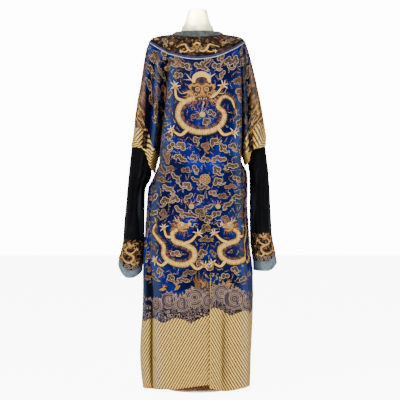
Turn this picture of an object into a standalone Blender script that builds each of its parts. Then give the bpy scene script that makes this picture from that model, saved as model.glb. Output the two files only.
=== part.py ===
"""Chinese dragon robe on a limbless dress form, seen from behind at -Y.

Metres, +Z up, the origin on the floor under the middle. +X is the wearer's right side, where
the front overlap closes. Each robe half is cut in one piece, back and front over the shoulder
with its upper sleeve, so its rings run from the centre back round the sleeve to the centre
front. A cleft between body and sleeve deepens down to the underarm, where they part.
"""
import math

import bmesh
import bpy
from mathutils import Vector

# Cloth and seams
WALL = 0.002            # silk with its lining
SEAM = 0.0003           # gap between two pieces at a seam
LAID = 0.0004           # gap under a piece that lies on a panel
INNER_LAYER = 0.0045    # how far the right front lies under the overlap
CLEFT_HALF = 0.010      # half the underarm seam's depth, where body and sleeve part
WELD = 0.00001          # points this close are one point
LEFT, RIGHT = -1, 1

# Stations of a half ring: the folds where body and sleeve meet, behind and before, and the end
CLEFT_BACK, CLEFT_FRONT, CENTRE_FRONT = 3, 11, 14
SIDE_FRONT = 9            # station past which the right front can lie under the overlap
BODY_OFFSET = 4           # stations that the sleeve takes out of a ring at the underarm

# Numbers of columns in each span between two stations, and of rows in each section
UPPER_SPANS = (2, 2, 3, 3, 2, 2, 2, 2, 2, 2, 3, 3, 2, 2)
LOWER_SPANS = (2, 2, 3, 2, 2, 2, 2, 3, 2, 2)
UNDERARM_COLUMNS = sum(LOWER_SPANS[3:7])
SLEEVE_END_ROWS = 3


def table(columns, rows):
    """Rows of numbers as dictionaries with the named columns."""
    names = columns.split()
    return [dict(zip(names, row)) for row in rows]


# Rings of the upper robe: heights at the centre back, at the outermost point and at the centre
# front, the centre back seam's place, the depths behind and before, and the roundness
RINGS = table("z_back z_side z_front seam back front power", (
    (1.349, 1.366, 1.320, 0.010, 0.078, 0.090, 2.0),
    (1.312, 1.359, 1.282, 0.012, 0.097, 0.106, 2.1),
    (1.272, 1.343, 1.238, 0.015, 0.113, 0.119, 2.3),
    (1.205, 1.290, 1.190, 0.019, 0.125, 0.129, 2.4),
    (1.120, 1.185, 1.110, 0.024, 0.133, 0.135, 2.5),
    (1.020, 1.075, 1.015, 0.028, 0.137, 0.138, 2.6),
    (0.906, 0.975, 0.906, 0.028, 0.137, 0.139, 2.6)))
COLLAR_RING = 2
UNDERARM_RING = 6
TIP_Y = 0.004             # the outermost point, just before the middle
OUTER_SHARE = 0.65        # where the outer station lies between the crease and the reach
SHOULDER_RISE = 2.2       # how sharply a ring climbs to its outermost point

# The same rings on each side: distances out from the middle of the silhouette, of the back
# panel's edge, of the cleft, of the sleeve's web and of the crease outside it, then the share
# of the depth that the cleft and the crease take
SIDE_COLUMNS = "reach edge cleft web crease cleft_depth crease_depth"
SIDES = {
    LEFT: table(SIDE_COLUMNS, (
        (0.1026, 0.052, 0.062, 0.073, 0.088, 0.00, 0.00),
        (0.1500, 0.078, 0.091, 0.108, 0.130, 0.01, 0.00),
        (0.1840, 0.094, 0.110, 0.134, 0.157, 0.05, 0.01),
        (0.2024, 0.100, 0.119, 0.151, 0.168, 0.36, 0.16),
        (0.2194, 0.109, 0.124, 0.155, 0.179, 0.60, 0.34),
        (0.2376, 0.121, 0.135, 0.159, 0.190, 0.80, 0.42),
        (0.2496, 0.136, 0.146, 0.171, 0.202, 1.00, 0.46))),
    RIGHT: table(SIDE_COLUMNS, (
        (0.1050, 0.056, 0.066, 0.077, 0.090, 0.00, 0.00),
        (0.1490, 0.098, 0.110, 0.121, 0.133, 0.00, 0.00),
        (0.1810, 0.138, 0.148, 0.157, 0.167, 0.01, 0.03),
        (0.2016, 0.157, 0.166, 0.175, 0.185, 0.16, 0.26),
        (0.2276, 0.160, 0.170, 0.179, 0.191, 0.36, 0.36),
        (0.2496, 0.162, 0.172, 0.184, 0.197, 0.56, 0.36),
        (0.2667, 0.161, 0.168, 0.186, 0.203, 1.00, 0.36)))}

# The upper sleeve's slanted end, from the underarm seam behind, round the outside, to the front
SLEEVE_END_COLUMNS = "out y z"
SLEEVE_END = {
    LEFT: table(SLEEVE_END_COLUMNS, (
        (0.167, -0.034, 0.834), (0.184, -0.078, 0.862), (0.206, -0.050, 0.920),
        (0.243, -0.050, 0.931), (0.257, 0.004, 0.937), (0.244, 0.056, 0.931),
        (0.206, 0.060, 0.915), (0.184, 0.082, 0.862), (0.167, 0.038, 0.834))),
    RIGHT: table(SLEEVE_END_COLUMNS, (
        (0.185, -0.034, 0.862), (0.198, -0.074, 0.878), (0.210, -0.050, 0.918),
        (0.250, -0.050, 0.930), (0.2655, 0.004, 0.942), (0.251, 0.056, 0.934),
        (0.212, 0.060, 0.912), (0.198, 0.078, 0.874), (0.185, 0.038, 0.862)))}

# Rings of the body from the underarm to the hem
BODY = table("z seam back front left right left_edge right_edge left_fold right_fold dip", (
    (0.906, 0.028, 0.137, 0.139, 0.147, 0.169, 0.136, 0.160, 0.000, 0.000, 0.000),
    (0.870, 0.028, 0.138, 0.140, 0.149, 0.176, 0.136, 0.158, 0.001, 0.001, 0.000),
    (0.832, 0.028, 0.139, 0.141, 0.162, 0.190, 0.142, 0.157, 0.003, 0.002, 0.000),
    (0.800, 0.029, 0.140, 0.142, 0.177, 0.193, 0.148, 0.157, 0.004, 0.002, 0.000),
    (0.770, 0.030, 0.141, 0.143, 0.190, 0.1935, 0.154, 0.158, 0.006, 0.003, 0.000),
    (0.720, 0.032, 0.142, 0.144, 0.194, 0.192, 0.160, 0.159, 0.008, 0.004, 0.000),
    (0.640, 0.035, 0.144, 0.145, 0.200, 0.196, 0.165, 0.160, 0.012, 0.006, 0.001),
    (0.550, 0.039, 0.146, 0.147, 0.205, 0.202, 0.163, 0.166, 0.017, 0.006, 0.002),
    (0.454, 0.047, 0.148, 0.149, 0.210, 0.213, 0.158, 0.176, 0.022, 0.007, 0.004),
    (0.434, 0.047, 0.148, 0.149, 0.210, 0.213, 0.157, 0.177, 0.022, 0.007, 0.004),
    (0.380, 0.047, 0.149, 0.150, 0.210, 0.214, 0.154, 0.181, 0.024, 0.008, 0.006),
    (0.300, 0.047, 0.150, 0.151, 0.212, 0.213, 0.152, 0.184, 0.025, 0.008, 0.010),
    (0.220, 0.047, 0.150, 0.151, 0.218, 0.210, 0.151, 0.184, 0.025, 0.008, 0.012),
    (0.140, 0.047, 0.150, 0.151, 0.221, 0.206, 0.150, 0.183, 0.024, 0.008, 0.013),
    (0.070, 0.047, 0.149, 0.150, 0.217, 0.204, 0.150, 0.182, 0.022, 0.008, 0.013),
    (0.012, 0.047, 0.148, 0.149, 0.210, 0.202, 0.150, 0.181, 0.020, 0.008, 0.012)))
BODY_SIDE_Y = -0.035      # where the skirt is widest
LOBE_Y = 0.080            # front and back edges of the skirt's side
MIDDLE = {LEFT: 0.075, RIGHT: 0.107}    # soft folds either side of the centre back
SIDE_ROUND = 0.012        # how far the side turns in at those edges
FRONT_SIDE = (0.026, 0.76)              # front of the side: distance in, share of the depth
FRONT_EDGE = (0.72, 0.93)               # front panel's edge: shares of the width and depth
FRONT_MIDDLE = 0.38       # soft fold beside the centre front, a share of the width
BACK_EDGE = 0.93          # back panel's edge: share of the depth
TROUGH = (0.35, 0.80)     # dark fold outside it: share of the way out and of the depth
PART_BELOW = 0.838        # the body has its own rounded side from here down
VENT_TOP = 0.454          # centre back vent
VENT_OPEN = 0.020         # how far down the edges have parted
VENT_LAP = {LEFT: 0.012, RIGHT: -0.001}     # the left edge runs on under the right one
VENT_STEP = {LEFT: 0.008, RIGHT: -0.001}

# Height of the hem above its ring at each station from the centre back to the centre front
HEM = {LEFT: (0.022, 0.006, 0.003, 0.000, -0.002, -0.002, 0.0, 0.0, 0.002, 0.003, 0.003),
       RIGHT: (0.007, -0.005, 0.010, 0.010, 0.006, 0.003, 0.0, 0.0, 0.002, 0.003, 0.003)}
HEM_FADE = 0.300

# The overlap's closing edge in columns from the side to the centre front, one per ring
OVERLAP_EDGE = (13.25, 13.25, 13.25, 12.95, 12.65, 12.35, 12.15)
OVERLAP_EDGE_BELOW = 11.50
OVERLAP_SETTLED = 0.720   # height at which the edge has come out to that column
OVERLAP_RAMP = 0.45
OVERLAP_COLUMNS = 8

# Neck band and what edges the collar
BAND_HEIGHT = 0.028
BAND_TOP = 1.3765         # the band's level top edge, behind and at the sides
BAND_LEAN = 0.013
BAND_FOOT = 0.0012        # gap between the neckline and the band
EDGING_WIDE = (2.02, 2.14)
PIPING_WIDE = (2.16, 2.21)

# Lower sleeves and hoof cuffs: heights behind, outside, before and inside, then the tube's
# outer, inner, back and front extents
TUBE_COLUMNS = "z_back z_out z_front z_in out inner back front"
LOWER_SLEEVE = {
    LEFT: table(TUBE_COLUMNS, (
        (0.962, 0.968, 0.962, 0.900, 0.2466, 0.173, -0.044, 0.050),
        (0.905, 0.926, 0.905, 0.866, 0.2556, 0.176, -0.044, 0.050),
        (0.832, 0.832, 0.832, 0.814, 0.2670, 0.180, -0.038, 0.064),
        (0.770, 0.770, 0.770, 0.770, 0.2735, 0.2010, -0.028, 0.074),
        (0.700, 0.700, 0.700, 0.700, 0.2800, 0.2045, -0.022, 0.080),
        (0.640, 0.640, 0.640, 0.635, 0.2860, 0.2055, -0.020, 0.082),
        (0.575, 0.578, 0.572, 0.564, 0.2890, 0.2065, -0.020, 0.082))),
    RIGHT: table(TUBE_COLUMNS, (
        (0.962, 0.970, 0.962, 0.915, 0.2580, 0.192, -0.044, 0.050),
        (0.905, 0.930, 0.905, 0.880, 0.2631, 0.193, -0.044, 0.050),
        (0.832, 0.832, 0.832, 0.830, 0.2760, 0.1985, -0.038, 0.064),
        (0.770, 0.770, 0.770, 0.770, 0.2806, 0.2010, -0.028, 0.074),
        (0.700, 0.700, 0.700, 0.700, 0.2840, 0.2015, -0.022, 0.080),
        (0.650, 0.650, 0.650, 0.650, 0.2870, 0.2025, -0.020, 0.082),
        (0.601, 0.602, 0.600, 0.598, 0.2890, 0.2035, -0.020, 0.082)))}
CUFF = {
    LEFT: table(TUBE_COLUMNS, (
        (0.5747, 0.5777, 0.5717, 0.5637, 0.2890, 0.2065, -0.020, 0.082),
        (0.535, 0.545, 0.540, 0.535, 0.2945, 0.2065, -0.023, 0.088),
        (0.495, 0.522, 0.518, 0.500, 0.3010, 0.2085, -0.026, 0.094),
        (0.457, 0.505, 0.500, 0.478, 0.3060, 0.2125, -0.029, 0.099))),
    RIGHT: table(TUBE_COLUMNS, (
        (0.6007, 0.6017, 0.5997, 0.5977, 0.2890, 0.2035, -0.020, 0.082),
        (0.565, 0.570, 0.560, 0.560, 0.2940, 0.2055, -0.023, 0.088),
        (0.525, 0.540, 0.530, 0.525, 0.3000, 0.2100, -0.026, 0.094),
        (0.492, 0.522, 0.512, 0.492, 0.3040, 0.2150, -0.029, 0.099)))}
CUFF_EDGING = {
    LEFT: table(TUBE_COLUMNS, (
        (0.4562, 0.5042, 0.4992, 0.4772, 0.3060, 0.2125, -0.029, 0.099),
        (0.442, 0.493, 0.488, 0.464, 0.3080, 0.2140, -0.030, 0.101),
        (0.427, 0.480, 0.476, 0.450, 0.3100, 0.2155, -0.031, 0.103))),
    RIGHT: table(TUBE_COLUMNS, (
        (0.4912, 0.5212, 0.5112, 0.4912, 0.3040, 0.2150, -0.029, 0.099),
        (0.473, 0.504, 0.496, 0.474, 0.3070, 0.2160, -0.030, 0.101),
        (0.454, 0.486, 0.480, 0.456, 0.3100, 0.2170, -0.031, 0.103)))}
TUBE_SIDES = 24
TUBE_POWER = 2.3

# Dress form: rings of the torso and of the neck, half widths and half depths
TORSO = table("z half_width back front", (
    (0.660, 0.130, 0.090, 0.090),
    (0.680, 0.140, 0.097, 0.096),
    (0.740, 0.144, 0.100, 0.098),
    (0.820, 0.138, 0.097, 0.097),
    (0.900, 0.124, 0.086, 0.090),
    (1.000, 0.112, 0.078, 0.088),
    (1.100, 0.116, 0.082, 0.098),
    (1.180, 0.124, 0.086, 0.104),
    (1.250, 0.146, 0.090, 0.102)))
SHOULDER_ROWS = (1.4, 0.9, 0.4, 0.0)    # rings of the robe that the form's shoulders fill
SHOULDER_CLEAR = 0.0012   # how far the form's shoulders lie under the robe's smooth inside
NECK_BASE = table("z half_width back front", (
    (1.370, 0.0680, 0.0600, 0.0600),
    (1.386, 0.0620, 0.0575, 0.0575),
    (1.400, 0.0585, 0.0550, 0.0550)))
FORM_NECK = table("z half_width half_depth", (
    (1.4004, 0.0545, 0.0520),
    (1.408, 0.0510, 0.0490),
    (1.425, 0.0450, 0.0440),
    (1.448, 0.0395, 0.0390),
    (1.459, 0.0375, 0.0370),
    (1.463, 0.0340, 0.0335)))
FORM_SIDES = 28
POLE_RADIUS = 0.014
BASE_RADIUS = 0.120
BASE_THICK = 0.006

# Toggle buttons down the closing edge, at these rows, and the cord loop that holds each
TOGGLES = (0.5, 3.0, 5.5, -0.640, -0.454)
BUTTON_RADIUS = 0.0055
LOOP_START = 0.0046
LOOP_LONG = 0.030
LOOP_WIDE = 0.005
LOOP_THICK = 0.0015
LOOP_STEPS = 4


def catmull(before, start, end, after, t):
    """Smooth curve from start to end through four neighbouring values or vectors."""
    straight = (end - start) * t + start
    bend = ((start * 2 - before - end) * (1 - t) + (end * 2 - start - after) * t) * 0.5
    return straight + bend * (t * (1 - t))


def along(values, place):
    """Value at a place in a list, smooth through its entries."""
    index = min(int(place), len(values) - 2)
    start, end = values[index], values[index + 1]
    before = values[index - 1] if index else start * 2 - end
    after = values[index + 2] if index + 2 < len(values) else end * 2 - start
    return catmull(before, start, end, after, place - index)


def row_at(rows, place):
    """A table's row at a place between its rows."""
    return {name: along([row[name] for row in rows], place) for name in rows[0]}


def smooth_step(value):
    value = min(max(value, 0.0), 1.0)
    return value * value * (3 - 2 * value)


def round_depth(share, power):
    """Depth of a rounded rectangle at a share of its half width."""
    return (1 - min(abs(share), 1.0) ** power) ** (1 / power)


def upper_stations(side, place):
    """Fifteen points of one half ring, from the centre back round the sleeve to the front."""
    ring = row_at(RINGS, place)
    edge = row_at(SIDES[side], place)
    reach = edge["reach"]
    outer = edge["crease"] + OUTER_SHARE * (reach - edge["crease"])
    level = edge["cleft"] / reach * smooth_step((place - COLLAR_RING) / (UNDERARM_RING - COLLAR_RING))
    result = []
    for front in (False, True):
        seam = 0.0 if front else ring["seam"] * side
        depth = ring["front"] if front else -ring["back"]
        z_end = ring["z_front"] if front else ring["z_back"]
        outs = (seam, 0.5 * (seam + edge["edge"]), edge["edge"], edge["cleft"], edge["web"],
                edge["crease"], outer)
        half = []
        for index, out in enumerate(outs):
            share = (out - seam) / (reach - seam)
            y = depth * round_depth(share, ring["power"])
            if index == CLEFT_BACK:
                y += (math.copysign(CLEFT_HALF, depth) - y) * edge["cleft_depth"]
            elif index == 5:
                y *= 1 - edge["crease_depth"]
            rise = max(out / reach - level, 0.0) / (1 - level)
            z = z_end + (ring["z_side"] - z_end) * rise ** SHOULDER_RISE
            half.append(Vector((out * side, y, z)))
        result.append(half)
    back, front = result
    tip = Vector((reach * side, TIP_Y, ring["z_side"]))
    return back + [tip] + front[::-1]


def body_stations(side, z):
    """Eleven points of one half ring of the body below the underarm."""
    place = 0
    while place < len(BODY) - 2 and BODY[place + 1]["z"] > z:
        place += 1
    span = BODY[place]["z"] - BODY[place + 1]["z"]
    ring = row_at(BODY, place + min(max((BODY[place]["z"] - z) / span, 0.0), 1.0))
    name = "left" if side == LEFT else "right"
    wide, edge, fold = ring[name], ring[name + "_edge"], ring[name + "_fold"]
    back, front = ring["back"], ring["front"]
    seam, middle = ring["seam"] * side, MIDDLE[side]
    parted = smooth_step((VENT_TOP - z) / VENT_OPEN)
    lapped = smooth_step((VENT_TOP - VENT_OPEN - z) / VENT_OPEN)
    lap = VENT_LAP[side] * lapped * side
    part = smooth_step((z - PART_BELOW) / (BODY[0]["z"] - PART_BELOW))
    trough = edge + TROUGH[0] * (wide - edge)
    outs_and_depths = (
        (seam + lap, -back + VENT_STEP[side] * parted),
        (middle, -back + ring["dip"] * (0.3 if side == LEFT else 1.0)),
        (edge, -back * BACK_EDGE),
        (trough, -back * TROUGH[1] + fold),
        (wide - SIDE_ROUND, -LOBE_Y),
        (wide, BODY_SIDE_Y),
        (wide - SIDE_ROUND, LOBE_Y * 0.55),
        (wide - FRONT_SIDE[0], front * FRONT_SIDE[1]),
        (FRONT_EDGE[0] * wide, front * FRONT_EDGE[1]),
        (FRONT_MIDDLE * wide, front - ring["dip"] * 0.6),
        (0.0, front))
    points = [Vector((out * side, y, z)) for out, y in outs_and_depths]
    if part > 0:
        ring_above = upper_stations(side, UNDERARM_RING)
        cleft = ring_above[CLEFT_BACK]
        halves = [Vector((cleft.x, CLEFT_HALF * k, cleft.z)) for k in (-0.5, 0.0, 0.5)]
        joined = ring_above[:CLEFT_BACK + 1] + halves + ring_above[CLEFT_FRONT:]
        for point, above in zip(points, joined):
            point.x += (above.x - point.x) * part
            point.y += (above.y - point.y) * part
    lift = max(0.0, 1 - z / HEM_FADE) ** 2
    for point, height in zip(points, HEM[side]):
        point.z += height * lift
    return points


def through(points, mirrored, place):
    """Point on a half ring at a place between its stations."""
    last = len(points) - 1
    index = min(int(place), last - 1)
    before = points[index - 1] if index else mirrored[1]
    after = points[index + 2] if index + 2 <= last else mirrored[last - 1]
    return catmull(before, points[index], points[index + 1], after, place - index)


def robe_point(side, column, row):
    """Outer surface. A row under 0 is a height below the underarm, taken as -z."""
    if row >= 0:
        return through(upper_stations(side, row), upper_stations(-side, row), column)
    below = column if column <= CLEFT_BACK else column - BODY_OFFSET
    return through(body_stations(side, -row), body_stations(-side, -row), below)


def side_point(side, column, z):
    """Body surface between the underarm folds, with columns counted on the body's stations."""
    return through(body_stations(side, z), body_stations(-side, z), column)


def columns_of(spans, first=0):
    """Column places, with each span between stations cut into its number of parts."""
    places = [float(first)]
    for index, count in enumerate(spans):
        places += [first + index + (step + 1) / count for step in range(count)]
    return places


UPPER_PLACES = columns_of(UPPER_SPANS)
LOWER_PLACES = columns_of(LOWER_SPANS)
UPPER_ROWS = [0, 0.5, 1, 1.5, 2, 2.2, 2.6, 3, 3.5, 4, 4.5, 5, 5.5, 6]
BODY_HEIGHTS = [ring["z"] for ring in BODY]


def grid(bm, rows):
    """A grid whose points are the given rows, each from the same number of vectors."""
    made = bmesh.ops.create_grid(bm, x_segments=len(rows[0]) - 1, y_segments=len(rows) - 1, size=1)
    for vert, point in zip(made["verts"], (p for row in rows for p in row)):
        vert.co = point


def face_outwards(bm, inside):
    """Turn every face the same way, away from a point inside."""
    bmesh.ops.recalc_face_normals(bm, faces=bm.faces)
    bm.faces.ensure_lookup_table()
    score = sum((f.calc_center_median() - inside).dot(f.normal) * f.calc_area() for f in bm.faces)
    if score < 0:
        bmesh.ops.reverse_faces(bm, faces=bm.faces)


def material_for(name, colour, roughness, metallic=0.0):
    material = bpy.data.materials.new(name)
    material.use_nodes = True
    shader = material.node_tree.nodes["Principled BSDF"]
    shader.inputs["Base Color"].default_value = (*colour, 1)
    shader.inputs["Roughness"].default_value = roughness
    shader.inputs["Metallic"].default_value = metallic
    return material


def finish(name, bm, material, wall=None):
    """An object from a bmesh. A wall grows inwards from the surface that is given."""
    bmesh.ops.triangulate(bm, faces=bm.faces, quad_method="SHORT_EDGE")
    mesh = bpy.data.meshes.new(name)
    bm.to_mesh(mesh)
    bm.free()
    mesh.shade_smooth()
    mesh.materials.append(material)
    thing = bpy.data.objects.new(name, mesh)
    bpy.context.collection.objects.link(thing)
    if wall:
        solidify = thing.modifiers.new("Wall", "SOLIDIFY")
        solidify.thickness = wall
        solidify.offset = -1
    return thing


def overlap_edge(row):
    """Column of the overlap's closing edge, which comes out to the side under the arm."""
    if row >= 0:
        return along(OVERLAP_EDGE, row)
    share = smooth_step((-row - OVERLAP_SETTLED) / (BODY[0]["z"] - OVERLAP_SETTLED))
    return OVERLAP_EDGE_BELOW + (OVERLAP_EDGE[-1] - OVERLAP_EDGE_BELOW) * share


def under_overlap(point, side, column, row):
    """Right front points sink under the overlap past its closing edge."""
    if side == LEFT or column < SIDE_FRONT:
        return point
    share = smooth_step((column - overlap_edge(row) + OVERLAP_RAMP) / (OVERLAP_RAMP - 0.05))
    inwards = Vector((point.x * 0.25, point.y, 0)).normalized()
    return point - inwards * INNER_LAYER * share


def seam_shift(point, side):
    """The halves keep their seam gap at the centre back and centre front."""
    return Vector((point.x + side * SEAM / 2, point.y, point.z))


def half_panel(side, name, material):
    """Back, front and upper sleeve of one side in one wall."""
    bm = bmesh.new()
    rows = []
    for row in UPPER_ROWS:
        points = [robe_point(side, column, row) for column in UPPER_PLACES]
        points = [under_overlap(p, side, c, row) for p, c in zip(points, UPPER_PLACES)]
        rows.append([seam_shift(p, side) for p in points])
    grid(bm, rows)
    underarm = rows[-1]
    back_count = sum(UPPER_SPANS[:CLEFT_BACK])
    front_first = sum(UPPER_SPANS[:CLEFT_FRONT])
    across = [underarm[back_count].lerp(underarm[front_first], k / UNDERARM_COLUMNS)
              for k in range(UNDERARM_COLUMNS + 1)]
    top = underarm[:back_count] + across + underarm[front_first + 1:]
    rows = [top]
    for z in BODY_HEIGHTS[1:]:
        points = []
        for column in LOWER_PLACES:
            point = side_point(side, column, z)
            upper_column = column if column <= CLEFT_BACK else column + BODY_OFFSET
            points.append(seam_shift(under_overlap(point, side, upper_column, -z), side))
        rows.append(points)
    grid(bm, rows)
    sleeve_top = underarm[back_count:front_first + 1] + across[-2::-1]
    end = sleeve_end_points(side)
    rows = []
    for step in range(SLEEVE_END_ROWS + 1):
        share = step / SLEEVE_END_ROWS
        rows.append([a.lerp(b, share) for a, b in zip(sleeve_top, end)])
    grid(bm, rows)
    bmesh.ops.remove_doubles(bm, verts=bm.verts, dist=WELD)
    face_outwards(bm, Vector((0.1 * side, 0, 0.9)))
    return finish(name, bm, material, WALL)


def sleeve_end_points(side):
    """The slanted ring at the upper sleeve's end, closed along the underarm seam."""
    corners = [Vector((row["out"] * side, row["y"], row["z"])) for row in SLEEVE_END[side]]
    inner = (corners[0] + corners[-1]) / 2 + Vector((-0.003 * side, 0, -0.002))
    loop = corners + [inner]
    count = len(loop)
    points = []
    for index, parts in enumerate(UPPER_SPANS[CLEFT_BACK:CLEFT_FRONT]):
        for step in range(parts):
            points.append(catmull(loop[index - 1], loop[index], loop[index + 1],
                                  loop[(index + 2) % count], step / parts))
    half = UNDERARM_COLUMNS // 2
    for index in (count - 2, count - 1):
        for step in range(half):
            points.append(catmull(loop[index - 1], loop[index], loop[(index + 1) % count],
                                  loop[(index + 2) % count], step / half))
    points.append(points[0].copy())
    return points


def laid_point(side, column, row, out):
    """A point of the robe's surface moved out along its normal."""
    point = robe_point(side, column, row)
    step, tall = 0.05, 0.05 if row >= 0 else 0.01
    low_column, high_column = max(column - step, 0), min(column + step, CENTRE_FRONT)
    low_row = max(row - tall, 0) if row >= 0 else row - tall
    high_row = min(row + tall, UNDERARM_RING) if row >= 0 else row + tall
    across = robe_point(side, high_column, row) - robe_point(side, low_column, row)
    down = robe_point(side, column, high_row) - robe_point(side, column, low_row)
    normal = across.cross(down).normalized() * -side
    if normal.dot(Vector((point.x, point.y, 0.05))) < 0:
        normal = -normal
    return point + normal * out


def ring_walk():
    """Side and column round the neck, from the closing edge round the back and on to it."""
    gap = 0.01
    right = [c for c in UPPER_PLACES if c < OVERLAP_EDGE[0] - 0.1]
    walk = [(RIGHT, OVERLAP_EDGE[0] - gap)] + [(RIGHT, c) for c in right[::-1]]
    walk += [(LEFT, c) for c in UPPER_PLACES[1:]]
    walk += [(RIGHT, c) for c in UPPER_PLACES[::-1] if CENTRE_FRONT > c > OVERLAP_EDGE[0] + 0.1]
    return walk + [(RIGHT, OVERLAP_EDGE[0] + gap)]


def collar_strip(name, rows, out, material):
    """A strip that lies on the panels round the neck."""
    bm = bmesh.new()
    grid(bm, [[laid_point(side, column, row, out) for side, column in ring_walk()]
              for row in rows])
    face_outwards(bm, Vector((0, 0, 1.2)))
    return finish(name, bm, material, WALL)


def neck_band(material):
    """The band that stands up and leans in from the neckline."""
    rows = []
    for step in range(3):
        share = step / 2
        row = []
        for side, column in ring_walk():
            foot = robe_point(side, column, 0)
            inwards = Vector((-foot.x, -foot.y, 0)).normalized()
            height = min(BAND_HEIGHT, BAND_TOP - foot.z)
            lift = Vector((0, 0, BAND_FOOT + (height - BAND_FOOT) * share))
            row.append(foot + inwards * BAND_LEAN * share + lift)
        rows.append(row)
    bm = bmesh.new()
    grid(bm, rows)
    face_outwards(bm, Vector((0, 0, 1.3)))
    return finish("neck_band", bm, material, WALL)


def overlap(material):
    """The outer front on the wearer's right, sewn to the left front at the centre."""
    bm = bmesh.new()
    rows = []
    for row in UPPER_ROWS + [-z for z in BODY_HEIGHTS[1:]]:
        first = overlap_edge(row)
        points = []
        for step in range(OVERLAP_COLUMNS + 1):
            column = first + (CENTRE_FRONT - first) * step / OVERLAP_COLUMNS
            point = robe_point(RIGHT, column, row)
            points.append(seam_shift(point, RIGHT))
        rows.append(points)
    grid(bm, rows)
    face_outwards(bm, Vector((0.08, 0, 0.9)))
    return finish("overlap_front", bm, material, WALL)


def toggle(number, row, knot, cord):
    """A ball button on the closing edge and the flat loop that runs from it onto the overlap."""
    edge = overlap_edge(row)
    rest = WALL + LAID if row >= 0 and row < COLLAR_RING else 0.0
    centre = laid_point(RIGHT, edge, row, rest + LAID + BUTTON_RADIUS)
    bm = bmesh.new()
    bmesh.ops.create_icosphere(bm, subdivisions=2, radius=BUTTON_RADIUS)
    bmesh.ops.translate(bm, verts=bm.verts, vec=centre)
    finish("button_%d" % number, bm, knot)
    per_column = (robe_point(RIGHT, edge + 0.1, row) - robe_point(RIGHT, edge, row)).length / 0.1
    tall = 0.05 if row >= 0 else 0.01
    per_row = (robe_point(RIGHT, edge, row + tall) - robe_point(RIGHT, edge, row)).length / tall
    long = min(LOOP_LONG, (CENTRE_FRONT - edge) * per_column - 2 * LOOP_START)
    rows = []
    for part_way in (-0.5, 0.5):
        points = []
        for step in range(LOOP_STEPS + 1):
            column = edge + (LOOP_START + long * step / LOOP_STEPS) / per_column
            points.append(laid_point(RIGHT, column, row + part_way * LOOP_WIDE / per_row,
                                     rest + LAID + LOOP_THICK))
        rows.append(points)
    bm = bmesh.new()
    grid(bm, rows)
    face_outwards(bm, Vector((0.05, 0, centre.z)))
    finish("loop_%d" % number, bm, cord, LOOP_THICK)


def signed_power(value, power):
    return math.copysign(abs(value) ** power, value)


def tube_ring(side, row, sides=TUBE_SIDES):
    """One ring of a sleeve, from the back round the outside."""
    points = []
    x_middle, x_half = (row["out"] + row["inner"]) / 2, (row["out"] - row["inner"]) / 2
    y_middle, y_half = (row["front"] + row["back"]) / 2, (row["front"] - row["back"]) / 2
    for step in range(sides):
        angle = math.tau * step / sides
        ahead, out = -math.cos(angle), math.sin(angle)
        z = row["z_back"] * max(-ahead, 0) ** 2 + row["z_front"] * max(ahead, 0) ** 2
        z += row["z_out"] * max(out, 0) ** 2 + row["z_in"] * max(-out, 0) ** 2
        x = x_middle + x_half * signed_power(out, 2 / TUBE_POWER)
        y = y_middle + y_half * signed_power(ahead, 2 / TUBE_POWER)
        points.append(Vector((x * side, y, z)))
    return points + [points[0].copy()]


def tube(name, side, rows, parts, material):
    """A sleeve tube through its rings, with each section cut into parts."""
    bm = bmesh.new()
    places = [step / parts for step in range((len(rows) - 1) * parts + 1)]
    grid(bm, [tube_ring(side, row_at(rows, place)) for place in places])
    bmesh.ops.remove_doubles(bm, verts=bm.verts, dist=WELD)
    middle = sum((v.co for v in bm.verts), Vector()) / len(bm.verts)
    face_outwards(bm, middle)
    return finish(name, bm, material, WALL)


def lathe(name, rings, material):
    """A closed smooth solid through oval rings given from bottom to top."""
    bm = bmesh.new()
    grid(bm, [ring + [ring[0].copy()] for ring in rings])
    bmesh.ops.remove_doubles(bm, verts=bm.verts, dist=WELD)
    loops = [e for e in bm.edges if e.is_boundary]
    bmesh.ops.contextual_create(bm, geom=[e for e in loops if e.verts[0].co.z > rings[-1][0].z - WELD])
    bmesh.ops.contextual_create(bm, geom=[e for e in loops if e.is_boundary])
    bmesh.ops.recalc_face_normals(bm, faces=bm.faces)
    return finish(name, bm, material)


def oval(x_half, back, front, z, power=2.0):
    points = []
    for step in range(FORM_SIDES):
        angle = math.tau * step / FORM_SIDES
        deep = math.cos(angle)
        y = (front if deep > 0 else back) * signed_power(deep, 2 / power)
        points.append(Vector((x_half * signed_power(math.sin(angle), 2 / power), y, z)))
    return points


def shoulder_ring(place):
    """The form's ring under the robe's shoulders, the wall and a small gap inside them."""
    points = []
    for step in range(FORM_SIDES):
        column = CENTRE_FRONT * (1 - 2 * step / FORM_SIDES)
        side = RIGHT if column >= 0 else LEFT
        point = laid_point(side, abs(column), place, -WALL - SHOULDER_CLEAR)
        points.append(under_overlap(point, side, abs(column), place))
    return points


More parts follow.
